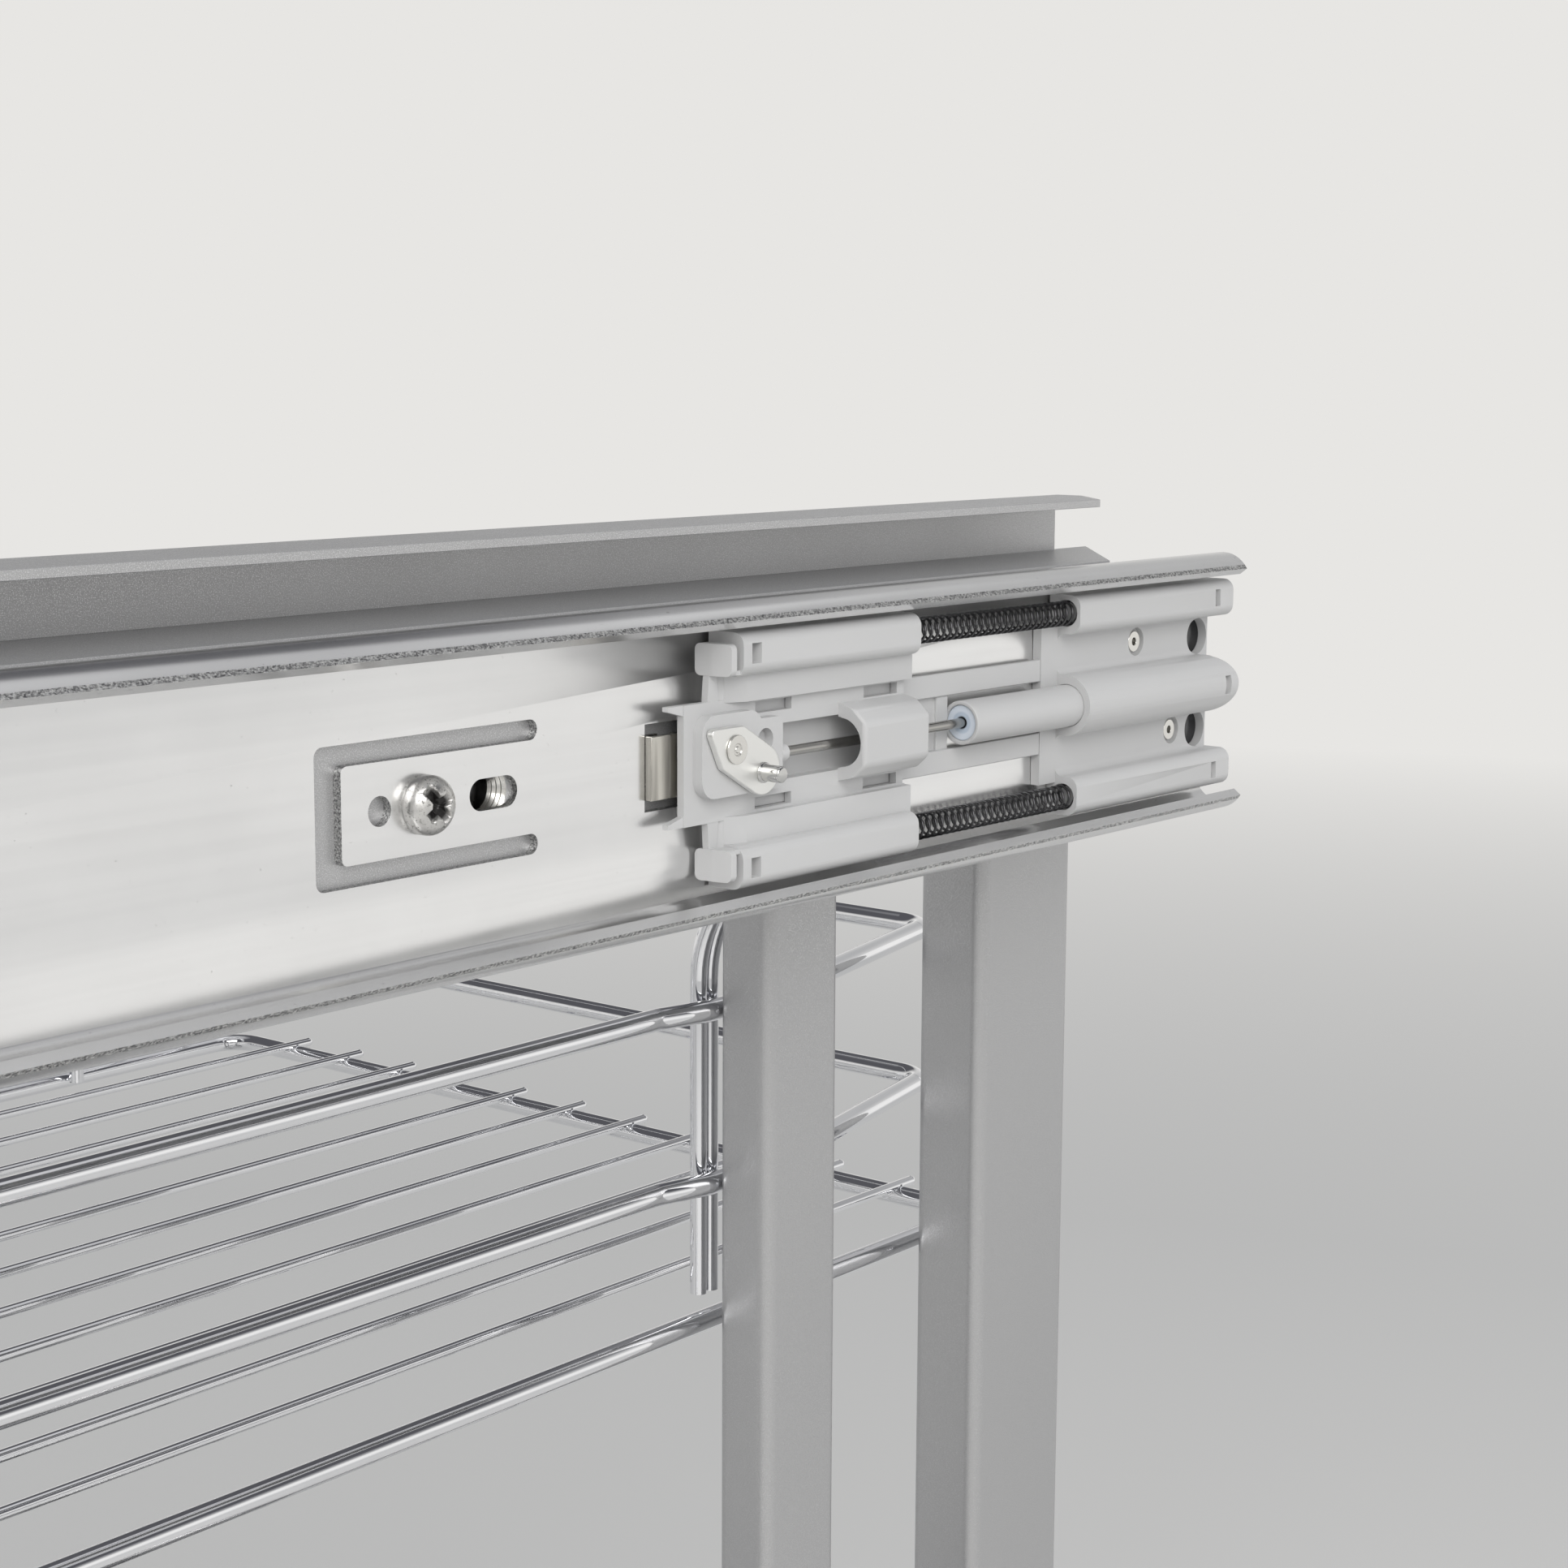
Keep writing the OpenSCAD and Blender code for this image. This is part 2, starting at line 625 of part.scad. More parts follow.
module slider_body() color(plastic) at_rear() difference() {
    union() {
        along_x(slider_x, slider_end) {
            span([plate_y[0], -ledge_in - 0.5], [plate_y[1], ledge_in + 0.5]);
        }
        both_ways() {
            ledge();
            along_x(tube_x[0], slider_end + 0.6)
                span([plate_y[0], rail_out + free_gap], [web_y - free_gap, slider_tube_in + 1]);
            along_x(tube_x[0], tube_x[1])
                tube_section(slider_tube_in, slider_tube_out, slider_tube_y, web_y - free_gap);
            claw();
            tip();
        }
        along_x(bridge_x, slider_end) polygon([
            [plate_y[0] + eps, 7.2], [2.6, 6.2], [bridge_y, 3.9],
            [bridge_y, -3.9], [2.6, -6.2], [plate_y[0] + eps, -7.2]
        ]);
        lever_pad();
        along_x(slot_x + sleeve_x[0], slot_x + sleeve_x[1]) translate([damper_y, 0]) circle(d = sleeve_d);
    }
    along_x(slot_x, slider_end + 1) {
        translate([damper_y, 0]) circle(d = damper_d + 2 * free_gap, $fn = 64);
        span([damper_y, -slot_half + 0.4], [plate_y[1] + 1, slot_half - 0.4]);
        span([plate_y[0] - eps, -slot_half], [plate_y[1] + 1, slot_half]);
    }
    both_ways() for (x = slider_window_x)
        translate([x, plate_y[0] - 0.5, 7.5]) cube([10.2, 3, 2.1]);
    both_ways() along_x(tube_x[1] - spring_seat, tube_x[1] + 1)
        translate([spring_y, spring_h]) circle(d = spring_bore_d);
    both_ways() translate([tube_x[0] + 2.3, slider_tube_y - 1, spring_h - 1.7]) cube([2.6, 3.2, 3.6]);
    translate([pivot.x, 12, pivot.y]) rotate([90, 0, 0]) cylinder(d = rivet_d, h = 12);
    along_x(slot_x - 2.4, slot_x + 1) translate([damper_y, 0]) circle(d = piston_rod_d + 0.1);
}

// Step between the plate and a tube, whose front end slants back to the claw
module ledge() translate([0, 0, ledge_in]) linear_extrude(slider_tube_in + 1 - ledge_in) polygon([
    [tube_x[0] - 1.6, plate_y[0] + 0.6], [tube_x[0] + 4.4, ledge_y], [slider_end + 0.6, ledge_y],
    [slider_end + 0.6, plate_y[1]], [tube_x[0] - 1.6, plate_y[1]]
]);

// Raised pad that carries the lever, with a lower step at its rear end
module lever_pad() difference() {
    facing(pad_y, plate_y[0] + eps) {
        round_span(pad_low, [pad_high.x + 2, pad_high.y], 3.4);
        round_span([pad_high.x - 3, pad_low.y], pad_step, 1.4);
    }
    facing(pad_y - 1, plate_y[0] - 0.3) translate(pad_hole) circle(d = pad_hole_d);
}

// Curved flap in front of a tube, on a neck that rises from the plate
module claw() let (x = tube_x[0]) {
    intersection() {
        translate([0, 0, claw_h[0]]) linear_extrude(claw_h[1] - claw_h[0]) polygon([
            [x - 3.05, claw_y[0] - 1], [x - 1.8, claw_y[0] - 1], [x - 1.8, 7], [x - 2.6, claw_y[1] + 1],
            [x - 4.3, claw_y[1] + 1], [x - 3.9, 6]
        ]);
        along_x(x - 5, x) round_span([claw_y[0], claw_h[0]], [claw_y[1], claw_h[1]], 1.2);
    }
    facing(plate_y[0] + 0.1, plate_y[1]) polygon([
        [x - 4.3, ledge_in], [x - 1.3, ledge_in], [x - 1.9, claw_h[0] + 1], [x - 3.8, claw_h[0] + 1]
    ]);
    facing(claw_y[0] + 0.8, 7) span([x - 2.1, claw_h[0] + 0.1], [x + 0.5, claw_h[0] + 0.9]);
}

module tip() facing(plate_y[0] + 0.2, plate_y[1]) polygon([
    [slider_x + 1, ledge_in + 0.5], [slider_x - 3.9, ledge_in + 0.5], [slider_x - 3.9, ledge_in - 0.3],
    [slider_x + 1, ledge_in - 1.6]
]);

module lever_rivet() color(steel) at_rear() translate([pivot.x, 0, pivot.y]) rotate([90, 0, 0])
    difference() {
        union() {
            translate([0, 0, -plate_y[1] + seat_gap]) cylinder(d = rivet_d - 0.1, h = plate_y[1] - 2.6);
            translate([0, 0, -lever_y[0] + 0.06]) cylinder(d = 5.2, h = 0.35);
        }
        translate([0, 0, -lever_y[0] + 0.2]) difference() {
            cylinder(d = 2.1, h = 1);
            translate([0, 0, -1]) cylinder(d = 1.1, h = 3);
        }
    }

module latch_lever() color(steel) at_rear() translate([pivot.x, 0, pivot.y]) facing(lever_y[0], lever_y[1])
    difference() {
        lever_outline();
        circle(d = rivet_d + 2 * rivet_fit - 0.1);
        translate(pin_at) circle(d = pin_d - 0.6);
    }

// Plate with two parallel long edges that run into a round end
module lever_outline() let (
        across = [-sin(lever_tilt), cos(lever_tilt)] * lever_end_r,
        top = [(lever_end_r - 4 * cos(lever_tilt)) / -sin(lever_tilt), 4]
    ) {
    translate(lever_end) circle(lever_end_r, $fn = 64);
    rounded([[-6.95, 4], [-3.3, -3.23], lever_end - across, lever_end + across, top], [1, 1.6, 0, 0, 2]);
}

// Convex outline, counterclockwise, whose corners have the given radii
module rounded(points, radii) {
    n = len(points);
    corners = [for (i = [0 : n - 1]) let (
            back = unit(points[(i + n - 1) % n] - points[i]),
            on = unit(points[(i + 1) % n] - points[i]),
            half = acos(back * on) / 2
        ) [points[i] + back * radii[i] / tan(half), points[i] + on * radii[i] / tan(half),
           points[i] + unit(back + on) * radii[i] / sin(half)]];
    polygon([for (i = [0 : n - 1]) each radii[i] > 0 ? [corners[i][0], corners[i][1]] : [points[i]]]);
    for (i = [0 : n - 1]) if (radii[i] > 0) translate(corners[i][2]) circle(radii[i]);
}

module latch_pin() color(chrome) at_rear() translate([pivot.x + pin_at.x, 0, pivot.y + pin_at.y])
    rotate([90, 0, 0]) {
        translate([0, 0, -lever_y[1]]) cylinder(d = pin_d - 0.6, h = lever_y[1] - lever_y[0] + eps);
        translate([0, 0, -lever_y[0]]) cylinder(d = pin_d + 0.7, h = 0.4);
        translate([0, 0, -lever_y[0]]) cylinder(d = pin_d, h = lever_y[0] - pin_tip_y - 0.3);
        translate([0, 0, -pin_tip_y - 0.3]) cylinder(d1 = pin_d, d2 = pin_d - 0.6, h = 0.3, $fn = 40);
    }

// Springs: one tube of six sides along a helix, whose ends run straight into the seats
spring_sides = 6;
spring_rings = 8;
spring_x = [tube_x[1] - spring_seat + spring_wire_d + 0.3, housing_x + spring_seat - spring_wire_d - 0.3];
spring_r = (spring_d - spring_wire_d) / 2;
spring_pitch = (spring_x[1] - spring_x[0]) / spring_curls;

function helix_point(i) = let (a = 360 * i / spring_rings)
    [spring_x[0] + spring_pitch * i / spring_rings, spring_r * cos(a), spring_r * sin(a)];

function spring_line() = let (
        n = spring_curls * spring_rings,
        start = helix_point(0),
        end = helix_point(n)
    ) concat(
        [start - [spring_wire_d + 0.2, 0, 0], start - [0.25, 0, 0]],
        [for (i = [1 : n - 1]) helix_point(i)],
        [end + [0.25, 0, 0], end + [spring_wire_d + 0.2, 0, 0]]
    );

function ring_points(line, i) = let (
        a = line[max(i - 1, 0)],
        b = line[min(i + 1, len(line) - 1)],
        t = unit(b - a),
        out = unit([0, line[i].y, line[i].z]),
        n = unit(out - t * (out * t)),
        m = cross(t, n)
    ) [for (k = [0 : spring_sides - 1]) let (g = 360 * k / spring_sides)
        line[i] + (n * cos(g) + m * sin(g)) * spring_wire_d / 2];

module spring_tube() {
    line = spring_line();
    n = len(line);
    points = [for (i = [0 : n - 1]) each ring_points(line, i)];
    sides = [for (i = [0 : n - 2], k = [0 : spring_sides - 1]) let (
            a = i * spring_sides + k,
            b = i * spring_sides + (k + 1) % spring_sides
        ) each [[a, b, a + spring_sides], [b, b + spring_sides, a + spring_sides]]];
    last = (n - 1) * spring_sides;
    caps = [for (k = [1 : spring_sides - 2]) each [[0, k + 1, k], [last, last + k, last + k + 1]]];
    polyhedron(points, concat(sides, caps), convexity = 10);
    gap = min([for (i = [0 : n - 1], j = [i + 5 : min(i + 11, n - 1)]) norm(line[i] - line[j])])
        - spring_wire_d;
    echo(str("least gap of a spring to itself, mm: ", gap));
}

module spring_upper() color(dark) at_rear() translate([0, spring_y, spring_h]) spring_tube();
module spring_lower() color(dark) at_rear() translate([0, spring_y, -spring_h]) spring_tube();

// Baskets

// A rear rim seen from above, right half: it meets the hanger post, then leads back to its corner
function rim_half(x) = [
    [hanger_x - jog_run, rear_y], [hanger_x, jog_y], [hanger_x + hanger_w, jog_y],
    [x, jog_y + corner_back], [x, rear_y + rear_depth]
];

function mirrored(points) = [for (i = [len(points) - 1 : -1 : 0]) [slide_len - points[i].x, points[i].y]];

module ring_at(points, z) translate([0, 0, z]) bent_rod(points, rod_d, bend_r, closed = true);

// Rectangle of rod between two corners a and b
module box_ring(a, b, z) ring_at([a, [b.x, a.y], b, [a.x, b.y]], z);

rear_right = slide_len - rear_inset;
rear_back = rear_y + rear_depth;

module rear_ring(z) let (half = rim_half(rear_right)) ring_at(concat(mirrored(half), half), z);

// Upright welded to the inner side of two rims
module upright(x, y, bottom) translate([x, y, bottom]) cylinder(d = upright_d, h = basket_h);

module rear_rim(bottom) color(chrome) {
    rear_ring(bottom + basket_h);
    rear_ring(bottom + basket_h - rim_step);
    for (x = [rear_inset + 60, slide_len / 2 + 20, rear_right - 60])
        upright(x, rear_back - upright_in, bottom);
}

module rear_grid(bottom) color(chrome) {
    box_ring([rear_inset, rear_y], [rear_right, rear_back + weld + seat_gap], bottom);
    for (y = [rear_y + wire_first : wire_pitch : rear_back - wire_pitch / 2])
        rod([rear_inset - wire_over, y, bottom + rod_d / 2], [rear_right + wire_over, y, bottom + rod_d / 2], wire_d);
}

module rear_hangers(bottom) color(chrome) {
    for (side = [0, 1]) translate([side * slide_len, 0, 0]) mirror([side, 0, 0])
        for (i = [0, 1]) let (
                x = hanger_x + hanger_rod_in + i * (hanger_rod_d + seat_gap),
                end_y = post_back_y + seat_gap + hanger_rod_d / 2 * cos(hanger_lean) + lap,
                bend_z = basket_h + hanger_bend_z
            ) translate([x, 0, bottom]) rotate([90, 0, 90]) bent_rod([
                [hanger_rod_y, rod_d + 1], [hanger_rod_y, bend_z],
                [end_y, bend_z + (hanger_rod_y - end_y) / tan(hanger_lean)]
            ], hanger_rod_d, hanger_bend_r);
}

module rear_upper_rim() rear_rim(rear_bottom_z);
module rear_lower_rim() rear_rim(rear_bottom_z - basket_step);
module rear_upper_grid() rear_grid(rear_bottom_z);
module rear_lower_grid() rear_grid(rear_bottom_z - basket_step);
module rear_upper_hangers() rear_hangers(rear_bottom_z);
module rear_lower_hangers() rear_hangers(rear_bottom_z - basket_step);

front_left = inner_x + front_inset;
front_right = inner_x + member_len - front_inset;
front_far = front_y - front_depth;

module front_ring(z, out) box_ring([front_left, front_far - out], [front_right, front_y], z);

module front_rim(bottom) color(chrome) {
    front_ring(bottom + basket_h, 0);
    front_ring(bottom + basket_h - rim_step, 0);
    for (x = [front_left + 50, front_right - 50], y = [front_y - upright_in, front_far + upright_in])
        upright(x, y, bottom);
}

module front_grid(bottom) color(chrome) {
    front_ring(bottom, weld + seat_gap);
    for (x = [front_left + wire_first : wire_pitch : front_right - wire_pitch / 2])
        rod([x, front_far, bottom + rod_d / 2], [x, front_y, bottom + rod_d / 2], wire_d);
}

module front_upper_rim() front_rim(rear_bottom_z);
module front_lower_rim() front_rim(rear_bottom_z - basket_step);
module front_upper_grid() front_grid(rear_bottom_z);
module front_lower_grid() front_grid(rear_bottom_z - basket_step);

// Front frame and catch

front_post_over = 35;
front_post_top = slide_z + front_post_over;
front_post_foot = lower_slide_z - front_post_over;

module front_frame() color(paint) translate([0, inner_front_y - frame_d - seat_gap, 0]) {
    posts = [inner_x + front_post_inset, inner_x + member_len - front_post_inset - front_post_w];
    for (x = posts) translate([x, 0, front_post_foot]) cube([front_post_w, frame_d, front_post_top - front_post_foot]);
    for (z = [front_post_foot, front_post_top - frame_d])
        translate([posts[0], 0, z]) cube([posts[1] - posts[0], frame_d, frame_d]);
}

// Where the raised pin stands when the slider is home, counted from the rear end
home_pin = [pivot.x + slider_travel + norm(pin_at) * cos(lever_swing + atan2(pin_at.y, pin_at.x)),
            pivot.y + norm(pin_at) * sin(lever_swing + atan2(pin_at.y, pin_at.x))];

module catch_arm() color(steel) translate([slide_len - cross_travel, 0, slide_z]) {
    root = -unit_zone;
    half = pin_d / 2 + 0.6;
    bar_low = home_pin.y + pin_d / 2 + 0.7;       // the raised pin passes below the bar
    bar_high = bar_low + 4;
    facing(-1.9, -0.4) difference() {
        union() {
            span([root - 24, bar_low], [home_pin.x + 6, bar_high]);
            span([home_pin.x - 5.6, 0.6], [home_pin.x + 6, bar_low + 1]);
        }
        span([home_pin.x - half, -1], [home_pin.x + half, home_pin.y + half - 0.2]);
    }
    facing(inner_front_y + inner_t, -1.9 + eps) span([root - 24, 4], [root - 3, bar_high]);
}

// Pull-out base

// Puts a slide that runs along x onto the floor, running along y
module left_pull() translate([-base_out_x + base_t + slide_d, pull_y, pull_z]) rotate([0, 0, 90]) children();
module right_pull() translate([slide_len + 3 - base_t - slide_d, pull_y + pull_len, pull_z])
    rotate([0, 0, -90]) children();

module pull_outer_left() color(steel) left_pull() outer_member(pull_len);
module pull_outer_right() color(steel) right_pull() outer_member(pull_len);
module pull_middle_left() color(steel) left_pull() middle_member(pull_len);
module pull_middle_right() color(steel) right_pull() middle_member(pull_len);
module pull_inner_left() color(steel) left_pull() inner_member(pull_len);
module pull_inner_right() color(steel) right_pull() inner_member(pull_len);

module pull_outer_cages() color(chrome) {
    left_pull() translate([pull_cage_y, 0, 0]) outer_cage(pull_cage_len);
    right_pull() translate([pull_len - pull_cage_y - pull_cage_len, 0, 0]) outer_cage(pull_cage_len);
}

module pull_inner_cages() color(chrome) {
    left_pull() translate([pull_cage_y, 0, 0]) inner_cage(pull_cage_len);
    right_pull() translate([pull_len - pull_cage_y - pull_cage_len, 0, 0]) inner_cage(pull_cage_len);
}

floor_hole_y = [pull_y + 30, pull_y + pull_len - 30];

module base_angle(x, turn) color(paint) translate([x, pull_y, 0]) mirror([turn, 0, 0]) difference() {
    union() {
        cube([base_t, pull_len, angle_h]);
        cube([angle_w, pull_len, base_t]);
    }
    for (y = floor_hole_y) translate([angle_w - 9, y - pull_y, -1]) cylinder(d = floor_hole_d, h = base_t + 2);
}

module base_angle_left() base_angle(-base_out_x, 0);
module base_angle_right() base_angle(slide_len + 3, 1);

module base_bar(y) color(paint) translate([angle_w - base_out_x, y, 0])
    cube([slide_len + 3 + base_out_x - 2 * angle_w, 40, base_t]);

module base_bar_front() base_bar(pull_y + 60);
module base_bar_rear() base_bar(pull_y + pull_len - 100);

// Carriage

module side_plate(x) color(paint) translate([x, side_y[0], side_foot])
    cube([side_t, side_y[1] - side_y[0], frame_top - side_foot]);

module carriage_side_left() side_plate(left_face);
module carriage_side_right() side_plate(right_face - side_t);

module cross_tube(y) color(paint) translate([left_face + side_t, y, frame_top - tube_h]) difference() {
    cube([right_face - left_face - 2 * side_t, tube_h, tube_h]);
    translate([-1, post_wall, post_wall])
        cube([right_face - left_face, tube_h - 2 * post_wall, tube_h - 2 * post_wall]);
}

module carriage_tube_front() cross_tube(tube_front_y);
module carriage_tube_rear() cross_tube(tube_rear_y);

placed() base_angle_left();
placed() base_angle_right();
placed() base_bar_front();
placed() base_bar_rear();
placed() pull_outer_left();
placed() pull_outer_right();
placed() pull_middle_left();
placed() pull_middle_right();
placed() pull_outer_cages();
placed() pull_inner_cages();
placed() pull_inner_left();
placed() pull_inner_right();
placed() carriage_side_left();
placed() carriage_side_right();
placed() carriage_tube_front();
placed() carriage_tube_rear();
placed() end_post_right();
placed() end_post_left();
placed() hanger_post_right();
placed() hanger_post_left();
placed() top_rail();
placed() bottom_rail();
placed() slide_outer_upper();
placed() slide_outer_lower();
placed() tab_screw();
placed() slide_screws();
placed() guide_base();
placed() latch_clip();
placed() soft_close_housing();
placed() housing_rivets();
placed() damper_cylinder();
placed() damper_cap();
placed() spring_upper();
placed() spring_lower();
placed() rear_upper_rim();
placed() rear_upper_grid();
placed() rear_lower_rim();
placed() rear_lower_grid();
placed() rear_upper_hangers();
placed() rear_lower_hangers();
placed() slide_middle_upper();
placed() slide_middle_lower();
placed() slide_outer_cages();
placed() slide_inner_cages();
placed() slide_inner_upper();
placed() slide_inner_lower();
placed() catch_arm();
placed() front_frame();
placed() front_upper_rim();
placed() front_upper_grid();
placed() front_lower_rim();
placed() front_lower_grid();
placed() slider_body();
placed() piston_rod();
placed() lever_rivet();
placed() latch_lever();
placed() latch_pin();
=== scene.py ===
# %% [markdown]
# # Corner pull-out basket
# The real object stands in a blind kitchen corner: a carriage with wire baskets rolls out of the
# cabinet, and a second set of baskets slides sideways on it along a soft-closing ball slide.
# Its steel, plastic and wire already exist as a CAD model at their real size. This lesson gives
# each piece its finish, rounds the edges that light catches, and builds the small things that a
# CAD model leaves out.

# %% Load the CAD model
import json
import math

import bmesh
import bpy
from mathutils import Matrix, Vector


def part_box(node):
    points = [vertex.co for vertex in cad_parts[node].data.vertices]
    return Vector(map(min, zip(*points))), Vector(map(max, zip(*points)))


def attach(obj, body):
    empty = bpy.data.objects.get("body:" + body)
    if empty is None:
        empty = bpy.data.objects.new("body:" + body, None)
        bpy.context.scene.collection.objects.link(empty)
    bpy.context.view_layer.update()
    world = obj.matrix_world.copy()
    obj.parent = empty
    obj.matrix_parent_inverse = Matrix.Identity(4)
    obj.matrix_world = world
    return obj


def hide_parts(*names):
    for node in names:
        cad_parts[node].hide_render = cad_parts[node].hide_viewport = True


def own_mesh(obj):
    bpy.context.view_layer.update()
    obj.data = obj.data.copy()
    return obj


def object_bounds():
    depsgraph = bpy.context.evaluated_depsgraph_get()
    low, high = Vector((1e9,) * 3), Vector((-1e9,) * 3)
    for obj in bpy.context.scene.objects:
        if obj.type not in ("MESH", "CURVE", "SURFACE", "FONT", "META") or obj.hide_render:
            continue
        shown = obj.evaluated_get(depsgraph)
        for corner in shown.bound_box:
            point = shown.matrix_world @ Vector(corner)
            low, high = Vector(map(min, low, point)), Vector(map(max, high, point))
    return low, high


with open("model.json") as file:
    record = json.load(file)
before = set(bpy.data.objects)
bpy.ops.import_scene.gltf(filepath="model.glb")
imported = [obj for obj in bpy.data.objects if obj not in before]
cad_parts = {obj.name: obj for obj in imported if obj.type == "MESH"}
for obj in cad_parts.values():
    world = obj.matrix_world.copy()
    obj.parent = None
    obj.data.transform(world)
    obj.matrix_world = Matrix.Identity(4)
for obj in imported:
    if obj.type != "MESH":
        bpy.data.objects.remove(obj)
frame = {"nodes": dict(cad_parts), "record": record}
cad_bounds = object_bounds()
print("CAD box:", [round(x, 4) for corner in cad_bounds for x in corner])

# %% [markdown]
# Everything is placed from the slide that the photograph shows: its rear end, the front plane of
# its lips, and its centre line. A maker measures such a slide in millimetres, so the script does
# too, and one function turns such a place into the scene's metres. The front of the web, the
# damper's axis and the lower slide's height come back often, so they have names.

# %% Places on the upper slide
MM = 0.001
WEB_Y = 10.3
DAMPER_Y = 5.8
LOWER_SLIDE = -370
slide_low, slide_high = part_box("slide_outer_upper")
slide_middle = (slide_low.z + slide_high.z) / 2


def at_rear(x, y, z):
    """The point x mm from the slide's rear end, y mm behind its lips, z mm over its centre line."""
    return Vector((slide_high.x + x * MM, slide_low.y + y * MM, slide_middle + z * MM))


print("slide's rear end:", at_rear(0, 0, 0))

# %% [markdown]
# ## Camera
# The photograph was taken from close by, at the left of the slide and a little above it. The view
# was solved from the slide's straight edges, so the camera has a place in millimetres, a direction
# and a focal length in pixels of the square picture.

# %% Camera
PICTURE = 1932
FOCAL_PX = 3500
SENSOR = 36
camera_place = at_rear(-542, -311.8, 69.7)
view_right = Vector((0.6319, -0.7750, 0.00505))
view_up = Vector((0.1120, 0.0977, 0.98889))
view_ahead = Vector((0.7669, 0.6243, -0.1485))

camera_data = bpy.data.cameras.new("camera")
camera_data.sensor_width = SENSOR
camera_data.lens = FOCAL_PX / PICTURE * SENSOR
camera_data.clip_start = 0.01
camera = bpy.data.objects.new("camera", camera_data)
turn = Matrix((view_right, view_up, -view_ahead)).transposed().to_4x4()
camera.matrix_world = Matrix.Translation(camera_place) @ turn
bpy.context.scene.collection.objects.link(camera)
bpy.context.scene.camera = camera
print("camera:", camera_place, "lens", round(camera_data.lens, 1))

# %% [markdown]
# ## Node trees as Python
# A finish is a tree of nodes, and so is a rule that repeats a shape. Both get the same two
# helpers. A Signal is one socket, and sums and products of signals add their own Math nodes, so a
# formula reads as a formula.


# %% Signals
class Signal:
    """One socket of a node tree, for use in formulas."""

    def __init__(self, tree, socket):
        self.tree = tree
        self.socket = socket

    def __add__(self, other):
        return self.tree.math("ADD", self, other)

    def __radd__(self, other):
        return self.tree.math("ADD", other, self)

    def __sub__(self, other):
        return self.tree.math("SUBTRACT", self, other)

    def __rsub__(self, other):
        return self.tree.math("SUBTRACT", other, self)

    def __mul__(self, other):
        return self.tree.math("MULTIPLY", self, other)

    def __rmul__(self, other):
        return self.tree.math("MULTIPLY", other, self)


# %% [markdown]
# A Tree makes every node with one method, which takes its type, its settings and what its sockets
# hold. A signal is linked to its socket, and a number, a colour or a vector is set on it. Steps,
# mixes and ramps come back often, so they have methods of their own.


# %% Trees
class Tree:
    """A node tree that is filled by calls."""

    def __init__(self, nodes, links):
        self.nodes = nodes
        self.links = links

    def node(self, kind, settings=None, sockets=None, out=0):
        """Adds a node and gives back one of its outputs, picked by number or by name."""
        made = self.nodes.new(kind)
        for key, value in (settings or {}).items():
            setattr(made, key, value)
        for key, value in (sockets or {}).items():
            self.fill(made.inputs[key], value)
        return Signal(self, made.outputs[out])

    def fill(self, target, value):
        if isinstance(value, Signal):
            self.links.new(value.socket, target)
        else:
            target.default_value = value

    def math(self, operation, *values):
        return self.node("ShaderNodeMath", {"operation": operation}, dict(enumerate(values)))

    def vector_math(self, operation, *values, out=0):
        sockets = dict(enumerate(values))
        return self.node("ShaderNodeVectorMath", {"operation": operation}, sockets, out)

    def step(self, value, low, high):
        """0 below low, 1 above high and a straight line between them."""
        return self.node(
            "ShaderNodeMapRange", {"clamp": True},
            {"Value": value, "From Min": low, "From Max": high, "To Min": 0.0, "To Max": 1.0},
        )

    def mix(self, share, low, high):
        """The colour low where share is 0, and high where it is 1."""
        return self.node(
            "ShaderNodeMix", {"data_type": "RGBA"},
            {0: share, 6: (*low, 1) if isinstance(low, tuple) else low,
             7: (*high, 1) if isinstance(high, tuple) else high}, out=2,
        )

    def ramp(self, value, *stops):
        """The colour at value between stops, which are (place, colour) pairs."""
        made = self.node("ShaderNodeValToRGB", {}, {"Fac": value})
        elements = made.socket.node.color_ramp.elements
        while len(elements) < len(stops):
            elements.new(1)
        for element, (place, colour) in zip(elements, stops):
            element.position = place
            element.color = (*colour, 1)
        return made


# %% [markdown]
# A Finish is one material. Patterns read Object coordinates. Every piece sits at the origin with
# its place in its mesh, so these are real metres along the real object, and a pattern runs on
# from one piece to the next as rolled steel does.


# %% Finishes
class Finish(Tree):
    """A material with one Principled surface."""

    def __init__(self, name):
        self.material = bpy.data.materials.new(name)
        self.material.use_nodes = True
        made = self.material.node_tree
        made.nodes.clear()
        super().__init__(made.nodes, made.links)
        self.place = self.node("ShaderNodeTexCoord", out="Object")

    def noise(self, grains_per_metre, detail=2.0, roughness=0.5):
        """Noise from 0 to 1 with that many grains per metre along x, y and z."""
        scaled = self.node(
            "ShaderNodeMapping", {"vector_type": "POINT"},
            {"Vector": self.place, "Scale": grains_per_metre},
        )
        return self.node(
            "ShaderNodeTexNoise", {},
            {"Vector": scaled, "Scale": 1.0, "Detail": detail, "Roughness": roughness},
        )

    def bump(self, height, depth_mm, strength):
        return self.node(
            "ShaderNodeBump", {},
            {"Height": height, "Distance": depth_mm * MM, "Strength": strength},
        )

    def surface(self, **sockets):
        """Ends the material. Underscores in the names stand for spaces."""
        values = {key.replace("_", " "): value for key, value in sockets.items()}
        shader = self.node("ShaderNodeBsdfPrincipled", {}, values)
        output = self.nodes.new("ShaderNodeOutputMaterial")
        self.links.new(shader.socket, output.inputs["Surface"])
        return self.material


# %% [markdown]
# ## Rules for what repeats
# Springs, rows of balls and the wires of a basket follow a rule, so Geometry Nodes make them. A
# Recipe is such a rule with named inputs. It runs on an object that holds only the points where
# the shape is wanted, and what comes out is kept as a plain mesh.


